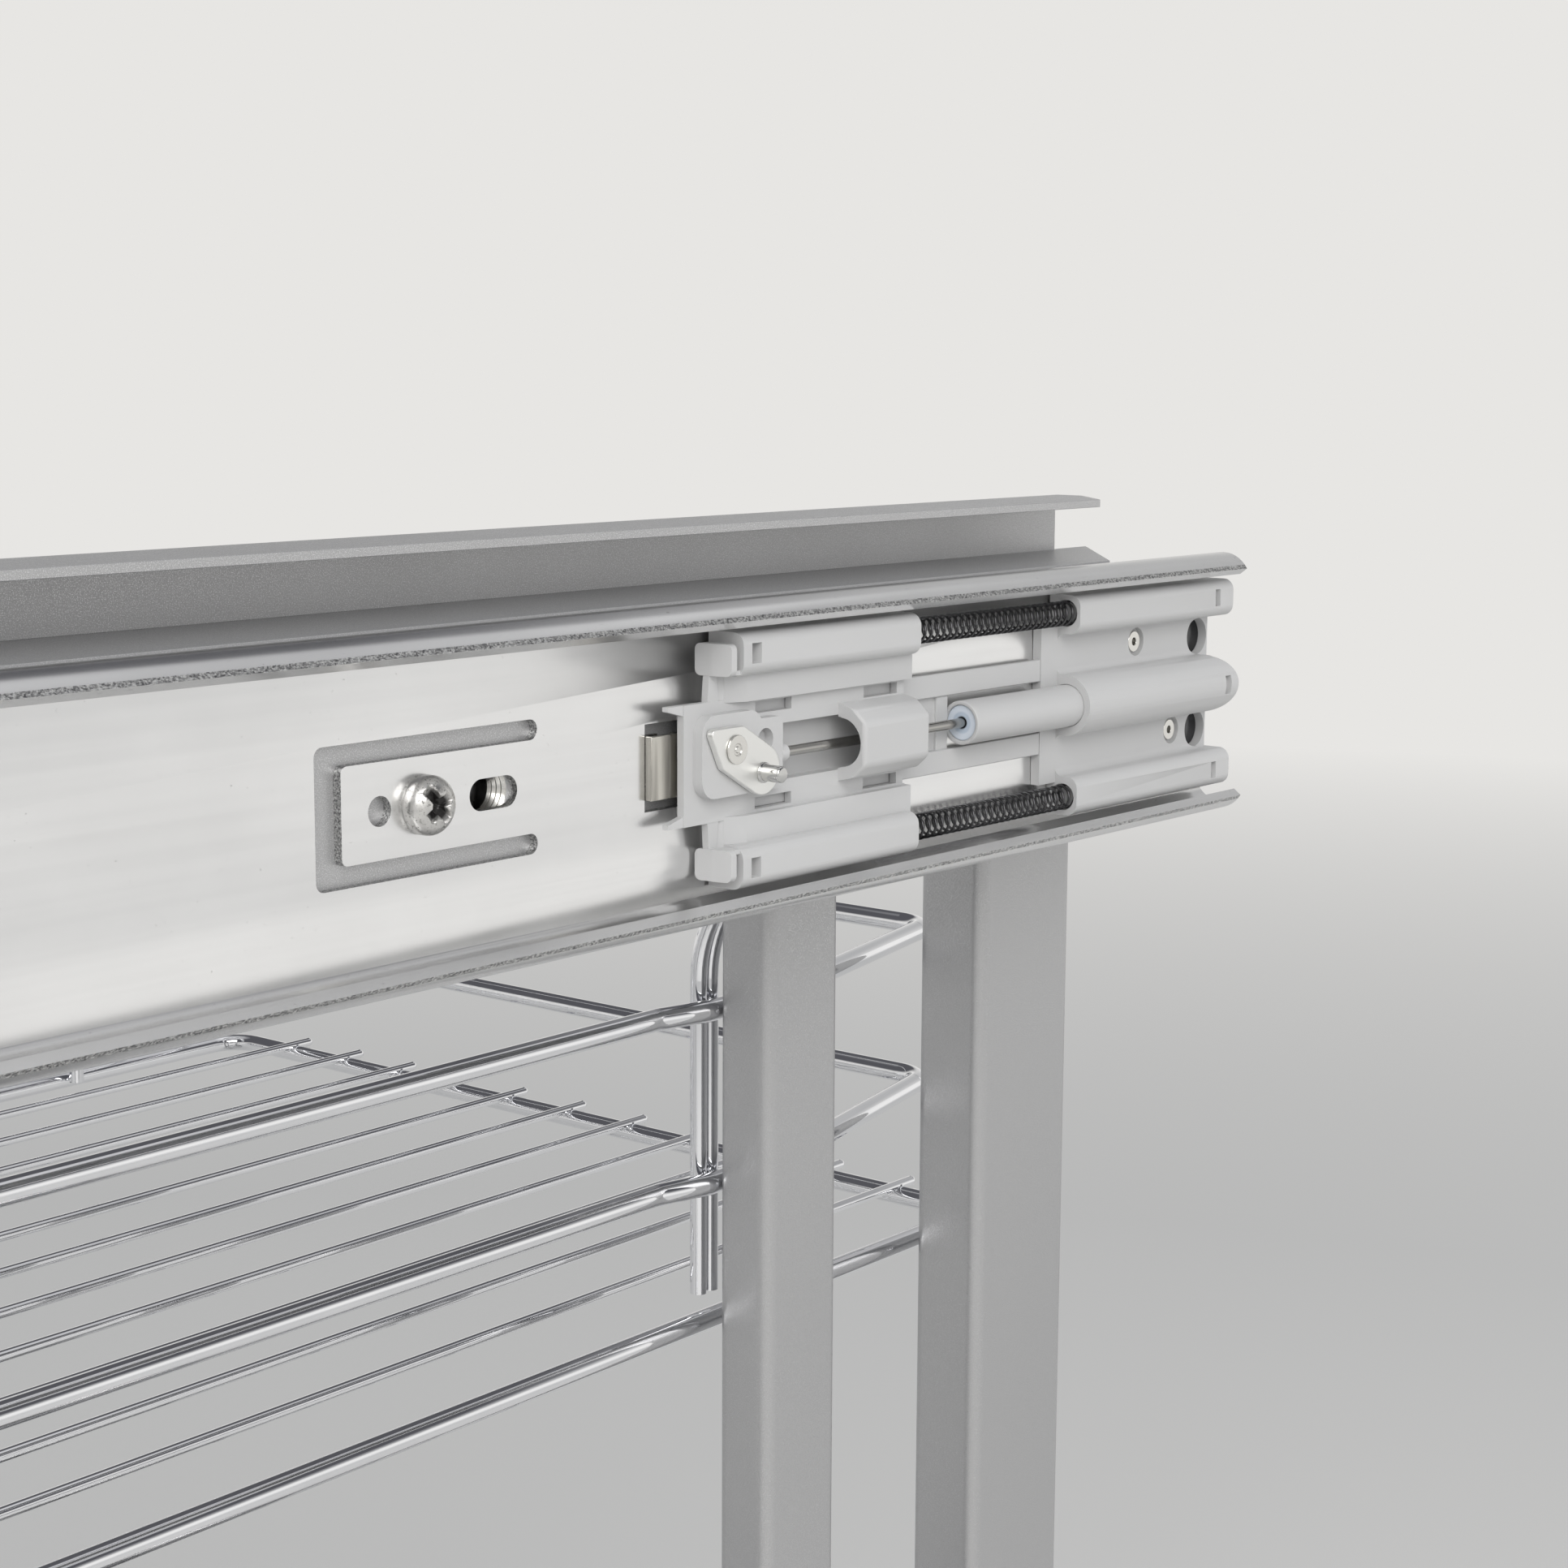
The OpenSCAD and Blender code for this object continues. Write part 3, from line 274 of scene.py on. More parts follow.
# %% Recipes
class Recipe(Tree):
    """A Geometry Nodes rule that puts a shape on each point of a small mesh."""

    KINDS = {int: "NodeSocketInt", float: "NodeSocketFloat", tuple: "NodeSocketVector"}

    def __init__(self, name, **inputs):
        self.group = bpy.data.node_groups.new(name, "GeometryNodeTree")
        super().__init__(self.group.nodes, self.group.links)
        sockets = self.group.interface
        sockets.new_socket("Points", in_out="INPUT", socket_type="NodeSocketGeometry")
        sockets.new_socket("Shape", in_out="OUTPUT", socket_type="NodeSocketGeometry")
        self.identifiers = {}
        for key, value in inputs.items():
            made = sockets.new_socket(key, in_out="INPUT", socket_type=self.KINDS[type(value)])
            made.default_value = value
            self.identifiers[key] = made.identifier
        start = self.nodes.new("NodeGroupInput")
        self.points = Signal(self, start.outputs["Points"])
        self.inputs = {key: Signal(self, start.outputs[key]) for key in inputs}

    def vector(self, x=0.0, y=0.0, z=0.0):
        return self.node("ShaderNodeCombineXYZ", {}, {0: x, 1: y, 2: z})

    def moved(self, shape, by, turn=(0, 0, 0)):
        return self.node(
            "GeometryNodeTransform", {}, {"Geometry": shape, "Translation": by, "Rotation": turn}
        )

    def tube(self, path, radius, sides):
        """A round rod along a curve, closed at both ends."""
        ring = self.node(
            "GeometryNodeCurvePrimitiveCircle", {}, {"Resolution": sides, "Radius": radius}
        )
        return self.node(
            "GeometryNodeCurveToMesh", {}, {"Curve": path, "Profile Curve": ring, "Fill Caps": True}
        )

    def on_points(self, points, shape):
        return self.node("GeometryNodeInstanceOnPoints", {}, {"Points": points, "Instance": shape})

    def together(self, *shapes):
        join = self.nodes.new("GeometryNodeJoinGeometry")
        for shape in shapes:
            self.links.new(shape.socket, join.inputs[0])
        return Signal(self, join.outputs[0])

    def end(self, shape, material):
        """Ends the rule with plain, smooth faces of one material."""
        real = self.node("GeometryNodeRealizeInstances", {}, {0: shape})
        smooth = self.node("GeometryNodeSetShadeSmooth", {}, {0: real})
        coated = self.node(
            "GeometryNodeSetMaterial", {}, {"Geometry": smooth, "Material": material}
        )
        self.links.new(coated.socket, self.nodes.new("NodeGroupOutput").inputs["Shape"])

    def grow(self, name, points, **values):
        """The rule's shape on these points, as an object with a plain mesh."""
        spots = bpy.data.meshes.new(name + "_points")
        spots.from_pydata([tuple(point) for point in points], [], [])
        made = bpy.data.objects.new(name, spots)
        bpy.context.scene.collection.objects.link(made)
        rule = made.modifiers.new("rule", "NODES")
        rule.node_group = self.group
        for key, value in values.items():
            rule[self.identifiers[key]] = value
        ready = made.evaluated_get(bpy.context.evaluated_depsgraph_get())
        grown = bpy.data.meshes.new_from_object(ready)
        made.modifiers.remove(rule)
        made.data = grown
        print(name, "faces:", len(grown.polygons))
        return made


# %% [markdown]
# ### Rolled steel with a zinc plate
# The slides are pressed from rolled strip and plated. Rolling leaves long, faint streaks along
# the strip, and the plate is a little cloudy. The streaks are noise that is stretched a
# hundredfold along the strip. They move the roughness more than the colour, because on bare metal
# it is the blur of the reflection that the eye reads as a streak.


# %% Zinc-plated steel
def along(lay, length, width):
    """Grains per metre for a noise that is long along the axis lay and short across it."""
    return tuple(length if axis == lay else width for axis in "xyz")


def zinc_plate(name, lay):
    steel = Finish(name)
    streaks = steel.noise(along(lay, 4, 420), detail=4)
    hair = steel.noise(along(lay, 40, 5200), detail=2)
    clouds = steel.noise((26, 26, 34), detail=3, roughness=0.6)
    dirt = steel.noise((900, 1300, 1300), detail=3, roughness=0.7)
    specks = steel.step(dirt, 0.66, 0.74)
    cloudy = steel.step(clouds * 0.6 + streaks * 0.4, 0.3, 0.7)
    plate = steel.mix(cloudy, (0.77, 0.77, 0.77), (0.88, 0.88, 0.88))
    return steel.surface(
        Base_Color=steel.mix(specks * 0.5, plate, (0.42, 0.41, 0.40)),
        Metallic=1.0,
        Roughness=0.15 + streaks * 0.08 + clouds * 0.10,
        Normal=steel.bump(streaks * 0.6 + hair * 0.4, 0.010, 0.25),
    )


def sheared_steel_with_painted_glints():
    """The torn edge that a press leaves where it cuts the strip, with painted glints and painted
    shade in its grains.
    """
    edge = Finish("sheared steel with painted glints")
    grains = edge.noise((1900, 2600, 2600), detail=3, roughness=0.75)
    bands = edge.noise((500, 2600, 2600), detail=2)
    torn = edge.step(grains, 0.38, 0.62)
    return edge.surface(
        # the dark and bright grains in the colour are painted shade and painted glints of the torn
        # grain
        Base_Color=edge.mix(torn, (0.14, 0.14, 0.145), (0.82, 0.82, 0.81)),
        Metallic=1.0,
        Roughness=0.22 + bands * 0.3,
        Normal=edge.bump(grains * 0.8 + bands * 0.2, 0.10, 0.9),
    )


zinc_x = zinc_plate("zinc plate along x", "x")
zinc_y = zinc_plate("zinc plate along y", "y")
sheared = sheared_steel_with_painted_glints()
print("steel:", zinc_x.name, "|", zinc_y.name, "|", sheared.name)

# %% [markdown]
# ### Silver paint
# The rails and posts wear a silver powder coat. Close up, flakes a fifth of a millimetre wide
# glint in a grey binder. A fast noise decides where a flake lies, and each flake is more metallic,
# brighter and smoother than the binder. A slower noise gives the skin of the powder its waves.


# %% Silver paint
def silver_paint(name, binder, flake, gloss):
    """binder and flake are the greys of the two, and gloss is the blur of the binder."""
    paint = Finish(name)
    flakes = paint.step(paint.noise((5600, 5600, 5600), detail=1), 0.52, 0.66)
    waves = paint.noise((300, 300, 300), detail=2)
    tone = paint.noise((30, 30, 30), detail=2)
    grey = paint.mix(flakes, (binder, binder, binder * 1.01), (flake, flake, flake * 1.01))
    return paint.surface(
        Base_Color=paint.mix(tone * 0.12, grey, (0.5, 0.5, 0.49)),
        Metallic=0.55 + flakes * 0.35,
        Roughness=gloss + 0.1 * tone - flakes * 0.12,
        Coat_Weight=0.15,
        Coat_Roughness=0.3,
        Normal=paint.bump(waves * 0.5 + flakes * 0.5, 0.012, 0.4),
    )


rail_paint = silver_paint("silver paint", binder=0.46, flake=0.70, gloss=0.38)
post_paint = silver_paint("satin silver paint", binder=0.47, flake=0.58, gloss=0.34)
print("paints:", rail_paint.name, "|", post_paint.name)

# %% [markdown]
# ### Moulded plastic
# The soft-close unit is moulded from a light grey plastic with a finely sandblasted skin. Its
# colour hardly changes, so what makes it real is a shallow, very fine bump, a little uneven gloss
# and the soft edges that its pieces get further down. The damper's cap is a bluish seal, drawn in
# rings round its axis: a bore made black with painted shade, a darker ring round it, and the pale
# rest.


# %% Plastics
CAP_BORE_SHADE = (1.05, 1.4)
CAP_RING = (1.9, 2.3)


def moulded_plastic(name, colour):
    plastic = Finish(name)
    skin = plastic.noise((3800, 3800, 3800), detail=2)
    flow = plastic.noise((60, 90, 90), detail=3)
    darker = tuple(shade * 0.95 for shade in colour)
    return plastic.surface(
        Base_Color=plastic.mix(flow, darker, colour),
        Roughness=0.42 + flow * 0.12 - skin * 0.05,
        Normal=plastic.bump(skin * 0.6 + flow * 0.4, 0.012, 0.45),
    )


def cap_finish():
    """Bluish seal with painted shade in its bore, where the piston rod goes in."""
    seal = Finish("bluish white seal")
    axis = at_rear(0, DAMPER_Y, 0)
    from_axis = seal.vector_math("SUBTRACT", seal.place, (0.0, axis.y, axis.z))
    across = seal.vector_math("MULTIPLY", from_axis, (0.0, 1.0, 1.0))
    radius = seal.vector_math("LENGTH", across, out=1)
    outside_bore_shade, out_of_ring = (
        seal.step(radius, low * MM, high * MM) for low, high in (CAP_BORE_SHADE, CAP_RING)
    )
    skin = seal.noise((1800, 1800, 1800), detail=2)
    rings = seal.mix(out_of_ring, (0.52, 0.60, 0.70), (0.70, 0.76, 0.84))
    return seal.surface(
        # the black of the bore is painted shade round the piston rod
        Base_Color=seal.mix(outside_bore_shade, (0.02, 0.02, 0.025), rings),
        Roughness=0.3 + skin * 0.1,
        Normal=seal.bump(skin, 0.01, 0.4),
    )


grey_plastic = moulded_plastic("light grey plastic", (0.59, 0.59, 0.59))
cap_plastic = cap_finish()
print("plastics:", grey_plastic.name, "|", cap_plastic.name)

# %% [markdown]
# ### Chrome, spring wire and small steel
# Chrome on wire is nearly a mirror, with long waves from the drawn wire under it. The springs are
# drawn wire with a dark finish. The latch's lever is bright plated and blurs what it mirrors, its
# pin is turned steel, the rivets are nickel plated and the balls are polished. One function makes
# them all: two tones in soft clouds, a blur, and a grain in the surface. The clip is strip steel
# whose dark and bright bands are painted reflections, and has its own.


# %% Bright metals
def bright_metal(name, dull, bright, blur, grain=900, depth_mm=0.004):
    """dull and bright are its tones, blur its roughness, grain the waves per metre."""
    metal = Finish(name)
    waves = metal.noise((grain, grain, grain), detail=2)
    clouds = metal.noise((70, 70, 70), detail=2)
    return metal.surface(
        Base_Color=metal.mix(clouds, dull, bright),
        Metallic=1.0,
        Roughness=blur + clouds * blur * 0.6,
        Normal=metal.bump(waves, depth_mm, 0.3),
    )


def clip_with_painted_reflections():
    """Bright strip steel whose dark and bright bands are painted reflections, over a real wave in
    its surface.
    """
    steel = Finish("clip steel with painted reflections")
    bands = steel.noise((420, 420, 24), detail=2)
    pits = steel.noise((2400, 2400, 2400), detail=2)
    painted_reflections = steel.step(bands, 0.36, 0.64)
    return steel.surface(
        # the dark and bright bands in the colour are painted reflections
        Base_Color=steel.mix(painted_reflections, (0.17, 0.16, 0.145), (0.62, 0.60, 0.55)),
        Metallic=1.0,
        Roughness=0.17 + pits * 0.12,
        Normal=steel.bump(bands * 0.6 + pits * 0.4, 0.02, 0.5),
    )


chrome = bright_metal(
    "chrome", (0.80, 0.81, 0.83), (0.90, 0.90, 0.92), 0.035, grain=260, depth_mm=0.006
)
# the dark spring wire is also the painted shade of the collar's bore and of the housing's holes
dark_wire_and_painted_shade = bright_metal(
    "dark spring wire and painted shade", (0.05, 0.05, 0.052), (0.11, 0.11, 0.115), 0.14, grain=3000
)
nickel = bright_metal(
    "nickel plate", (0.66, 0.65, 0.62), (0.82, 0.81, 0.78), 0.17, grain=2600, depth_mm=0.010
)
polished = bright_metal("polished balls", (0.70, 0.70, 0.71), (0.86, 0.86, 0.87), 0.06)
lever_plate = bright_metal(
    "bright plated lever", (0.84, 0.84, 0.82), (0.95, 0.95, 0.93), 0.34, grain=2400, depth_mm=0.008
)
pin_steel = bright_metal("turned pin", (0.52, 0.52, 0.51), (0.68, 0.68, 0.67), 0.10, grain=2400)
rod_steel = bright_metal(
    "ground rod", (0.34, 0.335, 0.32), (0.52, 0.51, 0.49), 0.14, grain=2400, depth_mm=0.006
)
clip_steel = clip_with_painted_reflections()
print("finishes so far:", len(bpy.data.materials))

# %% [markdown]
# ## From CAD nodes to finished pieces
# A CAD node arrives as loose triangles, which can't be smoothed or bevelled. So a copy of it is
# merged, its flat faces are joined again, and its sharp edges get a real radius, because every
# sheared, moulded or drawn edge has one and the light shows it. Faces that turn by less than FLAT
# are one face, and shading breaks at edges sharper than CREASE. A lathe shape and a round wire
# are made of narrow faces, so theirs breaks at wider angles.

# %% Merging, shading and rounding
JOIN_MM = 0.002
FLAT = math.radians(0.05)
CREASE = math.radians(32)
TURNED_CREASE = math.radians(50)
WIRE_CREASE = math.radians(60)


def merged(node):
    """The mesh of a CAD node with its triangles joined and every flat face in one piece."""
    shape = bmesh.new()
    shape.from_mesh(frame["nodes"][node].data)
    bmesh.ops.remove_doubles(shape, verts=shape.verts, dist=JOIN_MM * MM)
    bmesh.ops.dissolve_limit(shape, angle_limit=FLAT, verts=shape.verts, edges=shape.edges)
    for face in shape.faces:
        face.material_index = 0
        face.smooth = True
    return shape


def object_of(name, shape, *materials):
    """Makes an object of a bmesh, which is used up."""
    mesh = bpy.data.meshes.new(name)
    shape.to_mesh(mesh)
    shape.free()
    for material in materials:
        mesh.materials.append(material)
    made = bpy.data.objects.new(name, mesh)
    bpy.context.scene.collection.objects.link(made)
    return made


def crease(piece, angle=CREASE):
    """Smooth shading that breaks at sharp edges."""
    piece.data.shade_smooth()
    piece.data.set_sharp_from_angle(angle=angle)


def round_edges(piece, radius_mm, segments=2):
    """A radius on every edge that is sharper than CREASE."""
    bevel = piece.modifiers.new("rounded edges", "BEVEL")
    bevel.width = radius_mm * MM
    bevel.segments = segments
    bevel.limit_method = "ANGLE"
    bevel.angle_limit = CREASE
    bevel.miter_outer = "MITER_ARC"
    bevel.harden_normals = False


# %% [markdown]
# A finished piece stands for its node: it rides with the same body and is shown in its place.
# The record says which body that is. The rims and hangers of the baskets are smooth as they come,
# so they keep their mesh and only get a material.

# %% Pieces that stand for nodes
bodies = frame["record"]["behaviour"]["bodies"]
BODY = {node: body for body, nodes in bodies.items() for node in nodes}


def stand_for(piece, node):
    """The piece rides where the node rides and is shown in its place."""
    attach(piece, BODY[node])
    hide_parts(node)
    print(piece.name, "stands for", node)


def finished(node, *materials, radius_mm=0.2, segments=2, torn=None):
    """A finished piece in place of a node. Faces that torn picks get the second material."""
    shape = merged(node)
    if torn:
        for face in shape.faces:
            face.material_index = 1 if torn(face) else 0
    piece = object_of(node + "_finished", shape, *materials)
    crease(piece)
    round_edges(piece, radius_mm, segments)
    stand_for(piece, node)


def painted(material, *nodes):
    """CAD nodes that keep their own mesh and get a material."""
    for node in nodes:
        frame["nodes"][node].data.materials.clear()
        frame["nodes"][node].data.materials.append(material)


print("nodes:", len(BODY), "on bodies:", ", ".join(bodies))

# %% [markdown]
# ### Slides
# The outer member of a slide has two round races, and its strip is cut in three places: along the
# lips, at the ends, and where the press cut the tongue, the holes and the window out of its web.
# Cut steel is torn and rough, so those faces get their own material, whose dark and bright grains
# are painted shade and painted glints over a real bump of the torn grain. A face's place and the
# way it looks tell which they are.

# %% Cross slides
LIP_BAND = 0.6
LOOKS_ALONG = 0.99
LOOKS_ASIDE = 0.3


def at_lips(face):
    return face.calc_center_median().y < slide_low.y + LIP_BAND * MM


def at_slide_ends(face):
    return abs(face.normal.x) > LOOKS_ALONG


def at_cuts(face):
    """True for the walls of the tongue's slots and of the holes and the window in the web."""
    in_web = face.calc_center_median().y > slide_low.y + WEB_Y * MM
    return in_web and abs(face.normal.y) < LOOKS_ASIDE


def torn_edges(face):
    """True for the sheared lips, ends and openings of the outer member."""
    return at_lips(face) or at_slide_ends(face) or at_cuts(face)


for member in ("outer", "middle", "inner"):
    for level in ("upper", "lower"):
        outer = member == "outer"
        finished(
            f"slide_{member}_{level}", zinc_x, sheared, radius_mm=0.12 if outer else 0.25,
            torn=torn_edges if outer else at_slide_ends,
        )
finished("catch_arm", zinc_x)

# %% [markdown]
# The floor slides have the same members, but they run from front to back, and so do the streaks
# of their plate.

# %% Floor slides
for side in ("left", "right"):
    for member in ("outer", "middle", "inner"):
        finished(f"pull_{member}_{side}", zinc_y)

# %% [markdown]
# The rail behind the slide has a threaded collar. The photograph shows it wider, and further right
# in the slide's oval hole, than the CAD model has it. So in the merged copies of the rails each
# point of the collar keeps its direction from the axis and gets a new distance and a new axis.
# The posts are tube with tight corners, the base and the carriage have softer edges, and the
# corners of the front frame are the roundest.

# %% Rails, posts and base
COLLAR_X = -220.1
COLLAR_BORE = 4.3
COLLAR_OUTER = 5.2
CAD_COLLAR_X = -223.5
CAD_COLLAR_BORE = 2.1
CAD_COLLAR_OUTER = 3.3
RING_SLACK = 0.1


def widen_collar(shape, height):
    """Moves the points of the collar and its bore, which stand in rings round the CAD's axis."""
    axis = at_rear(CAD_COLLAR_X, 0, height)
    moved = 0
    for vert in shape.verts:
        x, z = (vert.co.x - axis.x) / MM, (vert.co.z - axis.z) / MM
        radius = math.hypot(x, z)
        if radius < CAD_COLLAR_OUTER + RING_SLACK:
            inside = radius < (CAD_COLLAR_BORE + CAD_COLLAR_OUTER) / 2
            wider = (COLLAR_BORE if inside else COLLAR_OUTER) / radius
            vert.co.x = axis.x + (COLLAR_X - CAD_COLLAR_X + x * wider) * MM
            vert.co.z = axis.z + z * wider * MM
            moved += 1
    print("points of the collar moved:", moved)


for node, height in (("top_rail", 0), ("bottom_rail", LOWER_SLIDE)):
    sheet = merged(node)
    widen_collar(sheet, height)
    rail = object_of(node + "_finished", sheet, rail_paint)
    crease(rail)
    round_edges(rail, 0.35)
    stand_for(rail, node)
for node in ("end_post_left", "end_post_right", "hanger_post_left", "hanger_post_right"):
    finished(node, post_paint, radius_mm=0.25)
for node in ("base_angle_left", "base_angle_right", "base_bar_front", "base_bar_rear",
             "carriage_side_left", "carriage_side_right",
             "carriage_tube_front", "carriage_tube_rear"):
    finished(node, rail_paint, radius_mm=0.5)
finished("front_frame", post_paint, radius_mm=1.5, segments=4)

# %% [markdown]
# ### Soft-close unit
# The slider has a hood over the piston rod, whose edges are far rounder than the rest. They get a
# weight, and a first, wider rounding works on weighted edges alone. The hood is the part of the
# slider that stands out in front there, and the distance from the damper's axis tells its outside
# from its bore.

# %% Soft-close unit
HOOD_X = (-136, -115)
HOOD_Y = 3.0
HOOD_Z = 9
HOOD_BORE = 5.0
HOOD_ROUND = 0.8
HOOD_CREASE = math.radians(24)


def weigh_hood(shape):
    """Marks the outer edges of the hood for the wider rounding, but not those of its bore."""
    weight = shape.edges.layers.float.new("bevel_weight_edge")
    low, high = at_rear(HOOD_X[0], 0, -HOOD_Z), at_rear(HOOD_X[1], HOOD_Y, HOOD_Z)
    axis = at_rear(0, DAMPER_Y, 0)

    def on_hood(co):
        in_front = low.x < co.x < high.x and co.y < high.y and low.z < co.z < high.z
        return in_front and math.hypot(co.y - axis.y, co.z - axis.z) > HOOD_BORE * MM

    marked = 0
    for edge in shape.edges:
        sharp = edge.calc_face_angle(0) > HOOD_CREASE
        if sharp and all(on_hood(vert.co) for vert in edge.verts):
            edge[weight] = 1.0
            marked += 1
    print("edges of the hood:", marked)


hooded = merged("slider_body")
weigh_hood(hooded)
slider = object_of("slider_body_finished", hooded, grey_plastic)
crease(slider)
wide = slider.modifiers.new("rounded hood", "BEVEL")
wide.width = HOOD_ROUND * MM
wide.segments = 4
wide.limit_method = "WEIGHT"
round_edges(slider, 0.35, 3)
stand_for(slider, "slider_body")
finished("soft_close_housing", grey_plastic, radius_mm=0.35, segments=3)
finished("guide_base", grey_plastic, radius_mm=0.25)
finished("damper_cylinder", grey_plastic)
finished("damper_cap", cap_plastic)
finished("latch_lever", lever_plate)
finished("latch_pin", pin_steel, radius_mm=0.15)
finished("latch_clip", clip_steel, radius_mm=0.15)
finished("lever_rivet", nickel)
finished("piston_rod", rod_steel, radius_mm=0.1)
finished("housing_rivets", nickel, radius_mm=0.1)

# %% [markdown]
# ### Screws
# The screw in the slide's tab has a pan head with a driver's cross, and a driver has slipped in
# it: one arm is torn longer than the others. A lathe shape is right for the head, because all but
# the cross is round. The cross is then sunk into the rings of points, and each point keeps how
# deep it was sunk, so the finish can darken the recess with dirt and painted shade.


# %% Lathe
def turned(rings, steps, place, sink=None, loop=False):
    """A shape turned from (radius, height) pairs in mm. place gives the point of u, v, height.

    sink gives how deep such a point is sunk, and with loop the last ring joins the first one.
    """
    shape = bmesh.new()
    recess = shape.verts.layers.float.new("recess")
    rows = []
    for radius, height in rings:
        row = []
        for step in range(steps if radius else 1):
            u = radius * math.cos(2 * math.pi * step / steps)
            v = radius * math.sin(2 * math.pi * step / steps)
            depth = sink(u, v, height) if sink else 0.0
            row.append(shape.verts.new(place(u, v, height - depth)))
            row[-1][recess] = depth
        rows.append(row)
    for row, following in zip(rows, rows[1:] + (rows[:1] if loop else [])):
        for step in range(steps):
            after = (step + 1) % steps
            corners = [row[step % len(row)], row[after % len(row)],
                       following[after % len(following)], following[step % len(following)]]
            shape.faces.new(list(dict.fromkeys(corners)))
    bmesh.ops.recalc_face_normals(shape, faces=shape.faces)
    return shape


# %% [markdown]
# The head is a flattened dome on a short side, and the thread is plain rings, because nobody sees
# that it doesn't climb. The cross is a cone in the middle and four arms that get shallower
# outwards.

# %% Sizes of the screw
SCREW_STEPS = 128
HEAD_RINGS = 48
HEAD_R = 4.8
HEAD_SIDE = 1.5
HEAD_DOME = 3.0
DOME_POWER = 2.3
EDGE_IN = 0.2
EDGE_LOW = 0.12
EDGE_HIGH = 0.35
CONE_R = 2.0
CROSS_DEPTH = 2.4
CROSS_HALF = 0.75
CROSS_WALL = 0.3
CROSS_RIM = 0.3
ARM_POWER = 0.7
ARM_BACK = 0.3
SHANK_R = 2.45
SHANK_LEN = 9.2
TIP_IN = 1
THREAD_PITCH = 0.8
THREAD_DEPTH = 0.3
THREAD_ROOT = 0.3
THREAD_CREST = 0.5
print("screw head", 2 * HEAD_R, "mm wide on a shank of", 2 * SHANK_R, "mm")


# %% Shape of the screw
def head_height(radius):
    """Height of the head without its cross: a flattened dome on a short side."""
    return HEAD_SIDE + HEAD_DOME * math.sqrt(max(0.0, 1 - (radius / HEAD_R) ** DOME_POWER))


def cross(*arms):
    """The depth of a driver's cross, whose arms are (degrees, length) pairs."""
    def depth(u, v, height):
        if height < HEAD_SIDE + CROSS_RIM:
            return 0.0
        deepest = CROSS_DEPTH * max(0.0, 1 - math.hypot(u, v) / CONE_R)
        for degrees, length in arms:
            cos, sin = math.cos(math.radians(degrees)), math.sin(math.radians(degrees))
            out, aside = u * cos + v * sin, abs(v * cos - u * sin)
            wall = min(1.0, max(0.0, (CROSS_HALF + CROSS_WALL - aside) / CROSS_WALL))
            ground = max(0.0, 1 - abs(out) / length) ** ARM_POWER if out > -ARM_BACK else 0.0
            deepest = max(deepest, CROSS_DEPTH * wall * ground)
        return deepest
    return depth


def screw_rings():
    """The head from its middle outwards, its side, and the thread down to the tip."""
    shares = [step / HEAD_RINGS for step in range(HEAD_RINGS + 1)]
    radii = [HEAD_R * math.sin(math.pi / 2 * share) for share in shares]
    top = [(radius, head_height(radius)) for radius in radii]
    under = HEAD_R - EDGE_IN
    side = [(HEAD_R, EDGE_HIGH), (under, EDGE_LOW), (under, 0.0), (SHANK_R, 0.0)]
    thread = []
    for ridge in range(int(SHANK_LEN / THREAD_PITCH)):
        start = -ridge * THREAD_PITCH
        thread.append((SHANK_R - THREAD_DEPTH, start - THREAD_ROOT))
        thread.append((SHANK_R, start - THREAD_CREST))
    return top + side + thread + [(SHANK_R - TIP_IN, -SHANK_LEN), (0.0, -SHANK_LEN)]


def screw_facing(x, z, sink):
    """A screw whose head stands on the web and looks out of the cabinet."""
    def place(u, v, height):
        return at_rear(x + u, WEB_Y - height, z + v)
    return turned(screw_rings(), SCREW_STEPS, place, sink)


# %% [markdown]
# The screw is old zinc: cloudy, with pits that a bump deepens, and dark and dull where its point
# was sunk into the cross, which is partly dirt and partly painted shade.


# %% Worn zinc with painted shade
def worn_screw_with_painted_shade():
    """Zinc that is pitted and scratched, with dirt and painted shade in the driver's cross."""
    metal = Finish("worn zinc screw with painted shade")
    pits = metal.step(metal.noise((2300, 2300, 2300), detail=3, roughness=0.7), 0.56, 0.66)
    clouds = metal.noise((420, 420, 420), detail=3)
    depth = metal.node("ShaderNodeAttribute", {"attribute_name": "recess"}, out=2)
    plate = metal.mix(clouds, (0.50, 0.495, 0.48), (0.86, 0.85, 0.83))
    pitted = metal.mix(pits * 0.75, plate, (0.10, 0.098, 0.09))
    return metal.surface(
        # the dark, less metallic recess of the cross is partly dirt and partly painted shade
        Base_Color=metal.mix(metal.step(depth, 0.25, 1.1), pitted, (0.018, 0.017, 0.016)),
        Metallic=1.0 - metal.step(depth, 0.3, 1.2) * 0.8,
        Roughness=0.24 + pits * 0.3 + clouds * 0.12,
        Normal=metal.bump(clouds * 0.5 - pits * 0.5, 0.06, 0.7),
    )


screw_zinc = worn_screw_with_painted_shade()
print("finish:", screw_zinc.name)

# %% [markdown]
# The tab's screw has the slipped cross. The other three of its kind are out of the picture and
# have an even cross. They are one node, so their shapes are gathered in one piece.

# %% The four screws
TAB_SCREW_X = -236.1
LEFT_SCREW_X = -440

slipped = cross((127, 3.9), (37, 2.7), (-53, 3.1), (-143, 2.9))
tab_screw = object_of("tab_screw_worn", screw_facing(TAB_SCREW_X, 0, slipped), screw_zinc)

